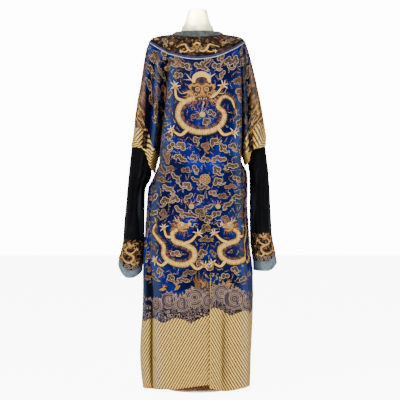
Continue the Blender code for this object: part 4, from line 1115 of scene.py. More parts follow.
# ---- embroidery: threads couched on the cloth, each laid on a chart of its piece
thread = {
    "pale": straight((236, 190, 98)), "gold": straight((178, 126, 50)), "bronze": straight((112, 74, 34)),
    "cloudEdge": straight((182, 160, 122)), "cloudGold": straight((150, 120, 76)), "cloudFill": straight((44, 26, 34)),
    "brown": straight((52, 32, 20)), "cream": straight((188, 160, 112)), "mauve": straight((78, 54, 70)),
    "fill": straight((82, 50, 50)), "plum": straight((8, 5, 16)), "night": straight((3, 5, 30)),
    "white": straight((238, 226, 200)), "pink": straight((140, 72, 60)), "dark": straight((18, 11, 9)),
    "foam": straight((170, 150, 146)), "slate": straight((62, 50, 62)), "blue": straight((30, 64, 120)),
    "orange": straight((232, 138, 52)),
}
laidStrokes = {}
threadLift = {"base": 0.0006, "layer": 0.0002}


def onGrid(points, normals, middle=0, mirrored=False, wraps=False):
    place = arcs(points[len(points) // 2])
    rise = arcs(points[::-1, middle])
    points, normals = points[::-1], normals[::-1]

    def find(s, v):
        along_ = place[middle] + (-np.asarray(s) if mirrored else np.asarray(s))
        if wraps:
            along_ = along_ % place[-1]
        rows = np.clip(np.interp(v, rise, np.arange(len(rise))), 0, len(rise) - 1.001)
        columns = np.clip(np.interp(along_, place, np.arange(len(place))), 0, len(place) - 1.001)
        row, column = rows.astype(int), columns.astype(int)
        up, over = (rows - row)[:, None], (columns - column)[:, None]
        result = []
        for grid in (points, normals):
            low = grid[row, column] * (1 - over) + grid[row, column + 1] * over
            high = grid[row + 1, column] * (1 - over) + grid[row + 1, column + 1] * over
            result.append(low * (1 - up) + high * up)
        return result
    return find


def ground(piece, chart, s, v, size=0.01, turn=0.0, flip=1):
    return {"piece": piece, "chart": chart, "s": s, "v": v, "size": size, "turn": turn, "flip": flip}


def moved(spot, x, y, size=1.0, turn=0.0, flip=1):  # a smaller ground inside another
    c, d = math.cos(spot["turn"]), math.sin(spot["turn"])
    px, py = x * spot["flip"] * spot["size"], y * spot["size"]
    return ground(spot["piece"], spot["chart"], spot["s"] + px * c - py * d, spot["v"] + px * d + py * c,
                  spot["size"] * size, spot["turn"] + turn * spot["flip"], spot["flip"] * flip)


def smoothLine(points, count):
    points = [np.array(p, float) for p in points]
    return np.array([along(points, k) for k in np.linspace(0, len(points) - 1, count)])


def stroke(spot, points, widths, colour, layer=0, crown=0.0, straightLine=False):
    size = spot["size"]
    points = np.array(points, float)
    length = np.linalg.norm(np.diff(points, axis=0), axis=1).sum() * size
    count = int(min(max(length / 0.0032, 4), 240)) + 1
    line = smoothLine(points, count) if len(points) > 2 else np.linspace(points[0], points[-1], count)
    widths = np.atleast_1d(np.array(widths, float))
    wide = np.interp(np.linspace(0, 1, count), np.linspace(0, 1, len(widths)), widths) / 2
    tangent = np.gradient(line, axis=0)
    tangent /= np.maximum(np.linalg.norm(tangent, axis=1, keepdims=True), 1e-9)
    side = np.stack([-tangent[:, 1], tangent[:, 0]], 1)
    most = widths.max() * size
    across = 1 if most < 0.0035 else (2 if most < 0.009 else 6)
    shares = np.linspace(-1, 1, across + 1)
    spread = line[:, None, :] + side[:, None, :] * (wide[:, None] * shares[None, :])[..., None]
    x, y = spread[..., 0] * spot["flip"] * size, spread[..., 1] * size
    c, d = math.cos(spot["turn"]), math.sin(spot["turn"])
    s, v = spot["s"] + x * c - y * d, spot["v"] + x * d + y * c
    lift = threadLift["base"] + threadLift["layer"] * layer + crown * (1 - shares[None, :] ** 2) * np.ones((count, 1))
    run = np.linspace(0, length, count)[:, None] * np.ones((1, across + 1))
    over = wide[:, None] * size * shares[None, :]
    if spot["flip"] > 0:
        s, v, lift, run, over = [value[:, ::-1] for value in (s, v, lift, run, over)]
    laidStrokes.setdefault((spot["piece"], spot["chart"], across), []).append((s, v, lift, run, over, thread[colour]))


def disc(spot, x, y, radius, colour, layer=0, crown=0.0):
    steps = np.linspace(-1, 1, 11)
    widths = 2 * radius * np.sqrt(np.maximum(1 - steps ** 2, 0.0004))
    size = spot["size"]
    shares = np.linspace(-1, 1, 5)
    px = x + (widths[:, None] / 2) * shares[None, :]
    py = y + radius * steps[:, None] * np.ones((1, 5))
    gx, gy = px * spot["flip"] * size, py * size
    c, d = math.cos(spot["turn"]), math.sin(spot["turn"])
    s, v = spot["s"] + gx * c - gy * d, spot["v"] + gx * d + gy * c
    lift = threadLift["base"] + threadLift["layer"] * layer + crown * (1 - shares[None, :] ** 2) * (1 - steps[:, None] ** 2)
    run, over = (py - y) * size, (px - x) * size
    if spot["flip"] < 0:
        s, v, lift, run, over = [value[:, ::-1] for value in (s, v, lift, run, over)]
    laidStrokes.setdefault((spot["piece"], spot["chart"], 4), []).append((s, v, lift, run, over, thread[colour]))


def ring(spot, x, y, radius, width, colour, layer=0, start=0.0, end=math.tau):
    count = max(int(abs(end - start) / 0.42), 4)
    angles = np.linspace(start, end, count + 1)
    stroke(spot, [(x + radius * math.cos(a), y + radius * math.sin(a)) for a in angles], width, colour, layer)


def curl(spot, x, y, radius, start, turns, width, colour, layer=1, handed=1):
    count = int(abs(turns) * 11) + 3
    points = []
    for k in range(count + 1):
        share = k / count
        angle = start + handed * turns * math.tau * share
        reach = radius * (1 - 0.74 * share)
        points.append((x + reach * math.cos(angle), y + reach * math.sin(angle)))
    stroke(spot, points, width, colour, layer)


# clouds: lobes as (x, y, radius, handed), then the tail's points
cloudForms = (
    (((-1.25, 0.0, 1.0, 1), (0.0, 0.95, 1.1, -1), (1.25, 0.0, 1.0, -1)), ((0.0, -0.3), (0.7, -1.5), (2.1, -2.1), (3.3, -1.8))),
    (((-2.4, -0.4, 0.85, 1), (-1.0, 0.45, 1.0, 1), (0.6, 0.0, 1.0, -1), (2.1, 0.5, 0.85, -1)), ((-1.6, -1.0), (-2.8, -1.6), (-4.0, -1.2))),
    (((-0.95, 0.25, 1.0, 1), (0.95, 0.0, 1.05, -1)), ((0.2, -0.7), (1.6, -1.5), (3.0, -1.1))),
    (((0.0, 1.3, 0.95, 1), (-0.95, 0.0, 0.9, 1), (0.95, 0.0, 0.9, -1), (0.1, -1.2, 0.7, -1)), ((0.3, -1.6), (-0.4, -2.6), (-1.6, -3.0))),
    (((0.0, 0.0, 0.95, 1),), ((0.5, -0.6), (1.6, -1.0), (2.6, -0.5))),
    (((-1.9, 0.9, 0.8, 1), (-0.7, 0.1, 0.95, -1), (0.9, -0.2, 1.0, 1), (2.2, -1.1, 0.8, -1), (0.6, 1.3, 0.7, 1)), ((2.6, -1.6), (3.8, -2.0))),
)


def cloud(spot, form, fill="cloudFill", line="cloudEdge", heavy=0.24):
    lobes, tail = cloudForms[form]
    widths = np.linspace(1.15, 0.16, 8)
    stroke(spot, tail, widths + heavy * 1.3, line, 0)
    stroke(spot, tail, widths * 0.62, fill, 1)
    for x, y, radius, handed in lobes:
        disc(spot, x, y, radius + heavy * 0.75, line, 1)
    for x, y, radius, handed in lobes:
        disc(spot, x, y, radius - heavy * 0.35, fill, 2)
        curl(spot, x, y, radius * 0.60, 2.2 if handed > 0 else 0.9, 0.95, heavy * 0.52, "cloudGold" if line == "cloudEdge" else line, 3, handed)


def flame(spot, x, y, direction, long, width, colour, layer=1, sway=0.5):
    c, d = math.cos(direction), math.sin(direction)
    points = []
    for share, out in ((0, 0), (0.35, sway), (0.7, -sway * 0.5), (1.0, sway * 0.9)):
        points.append((x + c * long * share - d * out, y + d * long * share + c * out))
    stroke(spot, points, (width * 0.7, width, width * 0.6, 0.05), colour, layer)


def paw(spot, x, y, direction, scale=1.0, layer=4):
    disc(spot, x, y, 0.95 * scale + 0.18, "plum", layer - 1)
    for k in range(5):
        angle = direction + (k - 2) * 0.62 + (0.5 if k == 4 else 0.0)
        reach = (2.5 if k != 4 else 1.9) * scale
        c, d = math.cos(angle), math.sin(angle)
        bend = 0.35 * scale * (1 if k < 2 else -1)
        points = [(x + c * 0.4, y + d * 0.4), (x + c * reach * 0.55 - d * bend, y + d * reach * 0.55 + c * bend),
                  (x + c * reach, y + d * reach)]
        stroke(spot, points, (0.85 * scale + 0.3, 0.66 * scale + 0.26, 0.2), "plum", layer - 1)
        stroke(spot, points, (0.85 * scale, 0.62 * scale, 0.34 * scale), "pale", layer)
        stroke(spot, [points[1], points[2], (x + c * (reach + 0.55) + d * bend * 0.8, y + d * (reach + 0.55) - c * bend * 0.8)],
               (0.1, 0.34 * scale, 0.05), "white", layer + 1)
    disc(spot, x, y, 0.9 * scale, "gold", layer, 0.0003)


def limb(spot, points, widths, direction, scale=1.0, layer=3):
    stroke(spot, points, np.array(widths) + 0.85, "plum", layer - 1)
    stroke(spot, points, widths, "bronze", layer)
    stroke(spot, points, np.array(widths) * 0.76, "pale", layer, 0.0002)
    line = smoothLine(points, 9)
    for k in (2, 4, 6):
        stroke(spot, [line[k] + (0.3, 0.2), line[k], line[k] + (-0.3, 0.2)], 0.10, "bronze", layer + 1)
    flame(spot, line[3][0], line[3][1], direction + 2.3, 2.2 * scale, 0.42, "mauve", layer - 2)
    flame(spot, line[4][0], line[4][1], direction + 2.8, 1.9 * scale, 0.36, "bronze", layer - 2)
    paw(spot, line[-1][0], line[-1][1], direction, scale, layer + 1)


def body(spot, points, widths, layer=1, finSide=1):
    count = 220
    line = smoothLine(points, count)
    wide = np.interp(np.linspace(0, 1, count), np.linspace(0, 1, len(widths)), widths)
    tangent = np.gradient(line, axis=0)
    tangent /= np.linalg.norm(tangent, axis=1, keepdims=True)
    side = np.stack([-tangent[:, 1], tangent[:, 0]], 1)
    place = np.concatenate([[0], np.cumsum(np.linalg.norm(np.diff(line, axis=0), axis=1))])
    for at in np.arange(0.8, place[-1] - 0.5, 0.78):  # back fins
        k = int(np.interp(at, place, np.arange(count)))
        foot = line[k] + side[k] * finSide * wide[k] * 0.44
        tip = foot + side[k] * finSide * 1.5 - tangent[k] * 0.5
        stroke(spot, [foot, (foot + tip) / 2, tip], (0.9, 0.6, 0.05), ("mauve", "bronze", "brown")[int(at * 3) % 3], layer + 1)
    widths = np.interp(np.linspace(0, 1, 40), np.linspace(0, 1, len(widths)), widths)
    stroke(spot, line[::6], widths + 0.9, "plum", layer)
    stroke(spot, line[::6], widths, "bronze", layer + 1)
    stroke(spot, line[::6], widths * 0.80, "pale", layer + 1, 0.0003)
    belly = line - side * finSide * (wide * 0.27)[:, None]
    stroke(spot, belly[3:-8:6], 0.28, "bronze", layer + 2)
    for at in np.arange(0.9, place[-1] - 1.5, 0.92):  # scales on the back, bars on the belly
        k = int(np.interp(at, place, np.arange(count)))
        for out, reach in ((0.32, 0.30), (0.10, 0.30), (-0.12, 0.26)):
            shift = 0.46 if out == 0.10 else 0.0
            middle = line[k] + side[k] * finSide * wide[k] * out + tangent[k] * shift
            if wide[k] > 1.2:
                stroke(spot, [middle + side[k] * reach * wide[k] * 0.36, middle + tangent[k] * 0.34,
                              middle - side[k] * reach * wide[k] * 0.36], 0.19, "brown", layer + 2)
        low = line[k] - side[k] * finSide * wide[k] * 0.29
        stroke(spot, [low, line[k] - side[k] * finSide * wide[k] * 0.47], 0.20, "brown", layer + 2)


def tailTuft(spot, x, y, direction, layer=2):
    for turn, long in ((-0.7, 2.0), (-0.35, 2.6), (0.0, 3.0), (0.35, 2.5), (0.7, 1.9)):
        flame(spot, x, y, direction + turn, long, 0.5, "bronze" if turn else "cream", layer, 0.3)


def pearl(spot, x, y, radius=1.0, layer=2):
    for k in range(5):
        flame(spot, x, y, 0.5 + k * 0.55, radius * (2.6 + 0.4 * (k % 2)), 0.42, ("pink", "gold", "cream")[k % 3], layer - 1, 0.35)
    disc(spot, x, y, radius + 0.28, "plum", layer)
    disc(spot, x, y, radius, "cream", layer + 1, 0.0002)
    curl(spot, x, y, radius * 0.72, 0.6, 1.1, 0.20, "pink", layer + 2)


def horn(spot, x, y, direction, scale=1.0, layer=3):
    c, d = math.cos(direction), math.sin(direction)
    tip = (x + c * 4.2 * scale, y + d * 4.2 * scale)
    middle = (x + c * 2.1 * scale - d * 0.4, y + d * 2.1 * scale + c * 0.4)
    stroke(spot, [(x, y), middle, tip], (0.75 * scale, 0.6 * scale, 0.16), "cream", layer)
    turn = direction + 0.8
    stroke(spot, [middle, (middle[0] + math.cos(turn) * 1.7 * scale, middle[1] + math.sin(turn) * 1.7 * scale)],
           (0.45 * scale, 0.12), "cream", layer)


def frontalHead(spot, layer=5):
    for k in range(13):  # mane round the face
        angle = math.pi * (0.10 + 0.80 * k / 12)
        for flip in (1, -1):
            turn = -angle * 0.72 + 0.55
            flame(spot, 2.3 * flip, -0.6, (turn if flip > 0 else math.pi - turn), 3.0 + 0.5 * (k % 3), 0.46,
                  ("bronze", "mauve", "gold")[k % 3], layer - 3, 0.35 * flip)
    for flip in (1, -1):
        horn(spot, 1.5 * flip, 2.3, math.pi / 2 - flip * 0.85, 0.9, layer - 1)
        flame(spot, 2.1 * flip, -2.5, math.pi / 2 - flip * 1.15, 6.6, 0.30, "cream", layer - 1, 0.9 * flip)
        flame(spot, 1.6 * flip, -3.2, math.pi / 2 - flip * 1.75, 3.8, 0.26, "cream", layer - 1, 0.5 * flip)
        stroke(spot, [(2.5 * flip, 1.9), (3.6 * flip, 1.2), (3.3 * flip, 0.2)], (0.3, 1.1, 0.2), "gold", layer)
    stroke(spot, [(0, 3.9), (0, 2.6), (0, 0.6), (0, -1.6), (0, -3.0), (0, -3.7)], (1.9, 4.8, 5.1, 5.5, 4.5, 2.2), "plum", layer - 1)
    stroke(spot, [(0, 3.6), (0, 2.6), (0, 0.6), (0, -1.6), (0, -2.9), (0, -3.4)], (1.5, 4.0, 4.3, 4.7, 3.8, 1.8), "fill", layer, 0.0003)
    stroke(spot, [(-2.5, 2.3), (-1.9, 4.1), (0, 4.9), (1.9, 4.1), (2.5, 2.3)], (0.7, 1.4, 1.7, 1.4, 0.7), "pale", layer + 2)
    stroke(spot, [(0, 3.5), (0, 2.7), (0, 2.0)], (0.3, 1.9, 0.3), "plum", layer + 2)
    for flip in (1, -1):
        stroke(spot, [(0.4 * flip, 1.0), (1.3 * flip, 1.75), (2.5 * flip, 1.3), (2.9 * flip, 2.3)], (0.4, 0.7, 0.5, 0.1), "gold", layer + 3)
        disc(spot, 1.35 * flip, 0.3, 0.88, "plum", layer + 2)
        ring(spot, 1.35 * flip, 0.3, 0.58, 0.26, "cream", layer + 3)
        disc(spot, 1.3 * flip, 0.26, 0.24, "gold", layer + 3)
        curl(spot, 2.0 * flip, -1.35, 0.85, 0.3, 1.0, 0.34, "gold", layer + 3, flip)
        disc(spot, 0.62 * flip, -1.62, 0.46, "gold", layer + 3)
        disc(spot, 0.60 * flip, -1.74, 0.17, "plum", layer + 4)
    stroke(spot, [(0, 1.5), (0, 0.2), (0, -1.5)], (0.5, 0.7, 1.5), "gold", layer + 2)
    stroke(spot, [(-1.7, -2.35), (-0.8, -2.75), (0, -2.5), (0.8, -2.75), (1.7, -2.35)], (0.2, 0.5, 0.55, 0.5, 0.2), "dark", layer + 2)
    for x in (-1.1, -0.4, 0.4, 1.1):
        stroke(spot, [(x, -2.4), (x * 0.96, -2.9)], (0.26, 0.05), "white", layer + 3)
    for x, turn in ((-1.7, -2.3), (-0.9, -1.95), (0.0, -1.57), (0.9, -1.2), (1.7, -0.85)):
        flame(spot, x, -3.1, turn, 2.4, 0.5, "bronze" if x else "cream", layer - 1, 0.3)


def profileHead(spot, layer=5):  # looks towards +x
    for k in range(9):
        flame(spot, -0.9, 0.2, 2.2 + k * 0.25, 3.2 + 0.6 * (k % 2), 0.5, ("bronze", "mauve", "gold")[k % 3], layer - 3, 0.4)
    horn(spot, -0.5, 1.5, 2.25, 0.8, layer - 1)
    horn(spot, -0.1, 1.7, 1.95, 0.6, layer - 1)
    stroke(spot, [(-1.8, 0.1), (-0.2, 0.5), (1.6, 0.6), (3.1, 0.9)], (2.5, 3.6, 2.0, 1.5), "plum", layer - 1)
    stroke(spot, [(-1.6, 0.1), (-0.2, 0.5), (1.6, 0.65), (2.9, 0.9)], (2.0, 3.1, 1.6, 1.15), "gold", layer, 0.0003)
    disc(spot, 3.1, 1.2, 0.62, "pale", layer + 1, 0.0002)
    disc(spot, 3.3, 1.15, 0.18, "dark", layer + 2)
    stroke(spot, [(-0.9, -1.1), (0.6, -1.5), (2.2, -1.2)], (0.9, 1.0, 0.5), "plum", layer - 1)
    stroke(spot, [(-0.8, -1.1), (0.6, -1.45), (2.1, -1.15)], (0.7, 0.75, 0.3), "gold", layer)
    stroke(spot, [(0.2, -0.65), (1.4, -0.5), (2.8, -0.1)], (0.3, 0.6, 0.2), "pink", layer)
    for x in (1.3, 1.9, 2.5):
        stroke(spot, [(x, 0.05), (x + 0.08, -0.4)], (0.24, 0.05), "white", layer + 2)
    stroke(spot, [(-0.9, 1.4), (0.1, 1.75), (1.0, 1.25)], (0.3, 0.66, 0.2), "pale", layer + 2)
    disc(spot, 0.3, 0.85, 0.62, "dark", layer + 1)
    disc(spot, 0.3, 0.85, 0.46, "white", layer + 2)
    disc(spot, 0.4, 0.85, 0.22, "dark", layer + 3)
    curl(spot, -0.9, -0.2, 0.7, 0.4, 1.0, 0.24, "cream", layer + 2)
    stroke(spot, [(2.9, 0.6), (4.3, 0.2), (5.2, 1.4), (6.6, 1.0)], (0.34, 0.28, 0.22, 0.06), "cream", layer - 1)
    stroke(spot, [(2.6, 1.5), (3.6, 2.9), (5.0, 2.6), (5.9, 3.6)], (0.34, 0.28, 0.22, 0.06), "cream", layer - 1)
    for x, turn in ((-0.6, -1.9), (0.2, -1.7), (1.0, -1.45), (1.8, -1.2)):
        flame(spot, x, -1.6, turn, 1.7, 0.4, "bronze", layer - 2, 0.2)


def frontalDragon(spot):
    disc(spot, 0, -0.4, 5.2, "plum", 0)
    disc(spot, 0, -0.4, 4.9, "brown", 1)
    body(spot, ((-1.4, -3.0), (-5.4, -3.8), (-9.6, -6.6), (-10.8, -11.4), (-7.8, -15.8), (-2.4, -17.9), (3.4, -17.4),
                (7.8, -14.4), (9.0, -10.0), (6.4, -6.6), (8.8, -3.0), (12.4, -4.6), (13.8, -8.8)),
         (1.7, 2.3, 2.5, 2.6, 2.7, 2.7, 2.6, 2.5, 2.3, 2.1, 1.8, 1.3, 0.5), 1, 1)
    tailTuft(spot, 13.8, -8.4, -1.3)
    limb(spot, ((-7.4, -4.8), (-11.0, -3.4), (-11.6, 0.6)), (1.7, 1.3, 0.9), 1.7, 0.9, 3)
    limb(spot, ((2.2, -3.4), (5.4, -2.0), (8.6, 1.2)), (1.7, 1.3, 0.9), 0.9, 0.9, 3)
    limb(spot, ((-6.4, -16.4), (-9.8, -19.2), (-13.0, -17.6)), (1.7, 1.3, 0.9), 2.7, 0.9, 3)
    limb(spot, ((6.0, -15.8), (8.6, -19.0), (12.4, -18.2)), (1.7, 1.3, 0.9), 0.2, 0.9, 3)
    pearl(spot, -0.4, -10.4, 1.3)
    for x, y, turn in ((-4.6, -8.6, 1.2), (4.2, -12.6, 0.6), (-4.4, -13.2, 2.0), (2.6, -7.0, 2.4), (-14.2, -9.6, 1.4), (11.6, -13.6, 1.0)):
        flame(spot, x, y, turn, 2.4, 0.5, "pink" if x < 0 else "bronze", 1, 0.6)
    frontalHead(moved(spot, 0, 0, 1.42))


def profileDragon(spot):
    body(spot, ((-1.2, -0.6), (-4.4, -3.0), (-3.6, -6.6), (1.4, -8.4), (5.2, -11.0), (4.8, -15.2), (0.2, -17.8),
                (-5.4, -17.0), (-9.2, -13.6), (-9.0, -9.0), (-11.6, -5.6), (-13.8, -1.8), (-11.8, 2.2)),
         (1.9, 2.5, 2.8, 2.9, 3.0, 3.0, 2.8, 2.7, 2.5, 2.2, 1.9, 1.4, 0.5), 1, -1)
    tailTuft(spot, -11.9, 2.0, 1.9)
    limb(spot, ((0.6, -8.0), (4.4, -6.4), (7.2, -3.4)), (1.8, 1.4, 1.0), 0.8, 0.95, 3)
    limb(spot, ((-3.9, -4.6), (-7.2, -4.4), (-8.4, -0.8)), (1.7, 1.3, 0.9), 1.9, 0.85, 3)
    limb(spot, ((2.8, -16.6), (5.8, -19.8), (9.2, -18.4)), (1.8, 1.4, 1.0), 0.4, 0.95, 3)
    limb(spot, ((-7.2, -15.6), (-10.8, -18.2), (-13.4, -16.4)), (1.7, 1.3, 0.9), 2.5, 0.9, 3)
    for x, y, turn in ((-6.4, -12.4, 1.0), (0.2, -13.2, 2.2), (8.4, -10.6, 0.9), (-12.8, -11.0, 1.9), (-0.6, 4.6, 2.7)):
        flame(spot, x, y, turn, 2.6, 0.55, "pink" if x < 0 else "bronze", 1, 0.6)
    disc(moved(spot, -1.4, 0.6), 0, 0, 3.1, "brown", 1)
    profileHead(moved(spot, 0, 0, 1.25))


def medallion(spot, petals=8, layer=1):
    disc(spot, 0, 0, 2.3, "cream", layer)
    disc(spot, 0, 0, 2.05, "fill", layer + 1)
    for k in range(petals):
        angle = math.tau * k / petals
        disc(spot, 1.35 * math.cos(angle), 1.35 * math.sin(angle), 0.48, "gold", layer + 2)
    disc(spot, 0, 0, 0.62, "cream", layer + 2)
    disc(spot, 0, 0, 0.34, "pink", layer + 3)


def flower(spot, petals=6, colour="pale", heart="pink", layer=1):
    for k in range(petals):
        angle = math.tau * k / petals + 0.3
        disc(spot, 0.95 * math.cos(angle), 0.95 * math.sin(angle), 0.62, "dark", layer)
        disc(spot, 0.95 * math.cos(angle), 0.95 * math.sin(angle), 0.5, colour, layer + 1, 0.0002)
    disc(spot, 0, 0, 0.5, heart, layer + 2)
    disc(spot, 0, 0, 0.2, "white", layer + 3)


def fruit(spot, layer=1):
    disc(spot, 0, 0, 2.1, "cream", layer)
    disc(spot, 0, 0, 1.8, "fill", layer + 1, 0.0002)
    for turn in (0.6, 2.2, 3.8, 5.2):
        curl(spot, 0.8 * math.cos(turn), 0.8 * math.sin(turn), 0.62, turn, 0.9, 0.2, "gold", layer + 2)
    for turn in (0.9, 1.5, 2.1):
        flame(spot, 0, 1.9, turn, 1.5, 0.5, "bronze", layer)


def billow(spot, radius, start=0.0, end=math.tau, layer=2):
    colours = ("foam", "slate", "cream", "brown", "mauve", "foam", "brown", "cream")
    count = max(int(radius / 0.62), 3)
    disc(spot, 0, 0, radius + 0.25, "slate", layer - 1)
    for k in range(count):
        ring(spot, 0, 0, radius * (1 - k / count), 0.34, colours[k % 8], layer, start, end)


def waves(piece, chart, spots, rng):  # round billows with foam curls over them
    unit = 0.0042
    for s, v, radius in spots:
        spot, reach = ground(piece, chart, s, v, unit), radius / unit
        billow(spot, reach)
        for k in range(6):
            turn = math.pi * (0.05 + 0.18 * k)
            curl(spot, (reach + 0.9) * math.cos(turn), (reach + 0.9) * math.sin(turn), 1.1,
                 rng.uniform(0, 6), 1.0, 0.34, "cream" if k % 2 else "foam", 3, 1 if k % 2 else -1)


def foamLine(piece, chart, heights, rng):  # curls along the top of the waves
    for s in np.arange(-0.30, 0.30, 0.0125):
        v = float(np.interp(s, [place for place, _ in heights], [high for _, high in heights]))
        spot = ground(piece, chart, s, v + rng.uniform(-0.004, 0.006), 0.0042, rng.uniform(-0.6, 0.6), rng.choice((-1, 1)))
        disc(spot, 0, 0, 1.5, "plum", 0)
        curl(spot, 0, 0, 1.15, rng.uniform(0, 6), 1.1, 0.36, rng.choice(("cream", "foam", "gold", "foam")), 2)
        for turn in (0.9, 1.5, 2.2):
            flame(spot, 0, 0.9, turn, rng.uniform(1.4, 2.6), 0.4, rng.choice(("foam", "mauve", "cream", "bronze")), 1, 0.4)


def treasure(spot, layer=4):
    stroke(spot, [(-1.6, -0.9), (0, 0), (1.6, 0.9)], (0.4, 1.9, 0.4), "dark", layer)
    stroke(spot, [(-1.4, -0.8), (0, 0), (1.4, 0.8)], (0.3, 1.5, 0.3), "gold", layer + 1, 0.0002)
    stroke(spot, [(-0.8, -0.4), (0.8, 0.5)], 0.2, "brown", layer + 2)
    for turn in (0.9, 1.6, 2.3):
        flame(spot, 0.2, 0.9, turn, 1.7, 0.36, "gold", layer, 0.3)


def rocks(spot, layer=2):
    for x, high, width in ((-2.0, 3.4, 1.3), (-0.9, 5.2, 1.5), (0.4, 6.6, 1.6), (1.7, 4.8, 1.4), (2.6, 3.0, 1.1)):
        stroke(spot, [(x, -1.0), (x, high * 0.5), (x + 0.15, high)], (width, width * 0.8, 0.3), "plum", layer)
        stroke(spot, [(x, -1.0), (x, high * 0.5), (x + 0.12, high * 0.94)], (width * 0.8, width * 0.6, 0.15),
               "bronze" if int(high) % 2 else "slate", layer + 1, 0.0003)
        stroke(spot, [(x - 0.18, -0.6), (x - 0.1, high * 0.5), (x, high * 0.8)], 0.12, "cream", layer + 2)


def spreadPlaces(chart, low, high, first, last, stepS, stepV, rng, facing=0, away=(), loose=0.18):
    busy, reach = away if away else (np.full((1, 2), 99.0), 0.0)
    places, row, v = [], 0, high
    while v > low:
        s = first + (stepS / 2 if row % 2 else 0.0)
        while s < last:
            at = (s + rng.uniform(-loose, loose) * stepS, v + rng.uniform(-loose, loose) * stepV)
            clear = np.min(np.hypot(busy[:, 0] - at[0], busy[:, 1] - at[1])) > reach
            spots, normals = charts[chart](np.array([at[0] - 0.01, at[0], at[0] + 0.01]), np.full(3, at[1]))
            spread = np.linalg.norm(spots[2] - spots[0])
            if clear and spread > 0.012 and (facing == 0 or normals[1, 1] * facing > 0.1):
                places.append((at[0], at[1], spots[1]))
            s += stepS
        v -= stepV
        row += 1
    return places


def scatter(chart, low, high, first, last, apart, rng, facing, busy=None, reach=0.0):  # close, uneven places
    s, v = [value.ravel() for value in np.meshgrid(np.arange(first, last, apart / 4), np.arange(low, high, apart / 4))]
    s, v = [value + np.array([rng.uniform(-0.12, 0.12) * apart for _ in value]) for value in (s, v)]
    spots, normals = charts[chart](s, v)
    spread = np.linalg.norm(charts[chart](s + 0.01, v)[0] - charts[chart](s - 0.01, v)[0], axis=1)
    usable = (normals[:, 1] * facing > 0.08) & (spread > 0.012)
    order, chosen = list(np.flatnonzero(usable)), []
    rng.shuffle(order)
    for k in order:
        if busy is not None and np.min(np.hypot(busy[:, 0] - s[k], busy[:, 1] - v[k])) < reach:
            continue
        if all(math.hypot(s[k] - a, v[k] - b) > apart for a, b, _ in chosen):
            chosen.append((s[k], v[k], spots[k]))
    return chosen


def cloudField(piece, chart, places, size, rng):
    for s, v, _ in places:
        spot = ground(piece, chart, s, v, size * rng.uniform(0.85, 1.15), rng.uniform(-0.8, 0.8), rng.choice((-1, 1)))
        cloud(spot, rng.choice((0, 1, 2, 3, 5, 0, 2)), rng.choice(("cloudFill", "cloudFill", "brown", "fill")),
              rng.choice(("cloudEdge", "cloudEdge", "cloudGold")))


def curlField(piece, chart, places, size, rng, colours=("gold", "bronze", "cream", "brown")):
    for s, v, _ in places:
        spot = ground(piece, chart, s, v, size * rng.uniform(0.8, 1.2), rng.uniform(0, 6.2), rng.choice((-1, 1)))
        colour = rng.choice(colours)
        if rng.random() < 0.55:
            curl(spot, 0, 0, 1.0, 0.4, 1.1, 0.34, colour, 0)
            stroke(spot, ((1.0, 0.2), (1.5, 1.0), (2.3, 1.2)), (0.35, 0.3, 0.06), colour, 0)
        else:
            for turn in (-0.7, 0.0, 0.7):
                flame(spot, 0, 0, turn, 2.1, 0.6, colour, 0, 0.3)


charts = {"back": onBack, "front": onFront}


def outward(points, centre):  # normals of a grid, away from a centre
    across, down = np.gradient(points, axis=1), np.gradient(points, axis=0)
    normal = np.cross(across, down)
    normal /= np.maximum(np.linalg.norm(normal, axis=2, keepdims=True), 1e-12)
    return normal * np.sign(np.sum(normal * (points - np.array(centre)), axis=2).mean())


collarMiddle = int(np.argmin(np.abs(collarPoints[9, :, 0]) + (collarPoints[9, :, 1] > 0) * 9))
charts["collar"] = onGrid(collarPoints, outward(collarPoints, (0, 0, 1.05)), collarMiddle, True)
for side, word in sideNames.items():
    charts["cuff_" + word] = onGrid(*cuffCharts[side], 0, side == left, True)
    sleeve = seamShifted(surfaces[side]["sleeve"], side)
    charts["sleeve_" + word] = onGrid(sleeve, outward(sleeve, sleeve.reshape(-1, 3).mean(0)), 0, side == left)

seenTable = {}
for name, facing in (("back", -1), ("front", 1)):
    s, v = [value.ravel() for value in np.meshgrid(np.arange(-0.44, 0.44, 0.005), np.arange(0.02, 1.34, 0.006))]
    points, normals = charts[name](s, v)
    open_ = normals[:, 1] * facing > 0.12
    seenTable[name] = (s[open_], v[open_], points[open_])


def seen(x, z, name="back"):  # the chart's place under a point of the picture, x and z in metres
    s, v, points = seenTable[name]
    facing = -1 if name == "back" else 1
    away = (points[:, 0] - x) ** 2 + (points[:, 2] - z) ** 2 - 0.00002 * facing * points[:, 1]
    best = int(np.argmin(away))
    return s[best], v[best]


def on(x, z, size, turn=0.0, flip=1, piece="silk_embroidery_back", chart="back"):
    s, v = seen(x, z, chart)
    return ground(piece, chart, s, v, size, turn, flip)


dragons = {"upper": (0.017, 1.142, 0.0088), "lowerLeft": (-0.057, 0.626, 0.0079), "lowerRight": (0.118, 0.628, 0.0074)}
frontalDragon(on(*dragons["upper"], piece="dragon_upper_back"))
profileDragon(on(*dragons["lowerLeft"], piece="dragon_lower_left"))
profileDragon(on(*dragons["lowerRight"], flip=-1, piece="dragon_lower_right"))
pearl(on(-0.022, 0.702, 0.0085), 0, 0, 1.2)
pearl(on(0.078, 0.704, 0.0085), 0, 0, 1.1)
medallion(on(0.031, 0.805, 0.0088))
for x, z in ((0.012, 0.487), (0.044, 0.478)):
    fruit(on(x, z, 0.0068))
rng = random.Random(11)
billows = ((-0.158, 0.335, 0.026), (-0.108, 0.350, 0.031), (-0.058, 0.340, 0.029), (-0.010, 0.362, 0.036),
           (0.042, 0.352, 0.030), (0.090, 0.382, 0.032), (0.142, 0.356, 0.040), (0.188, 0.340, 0.028))
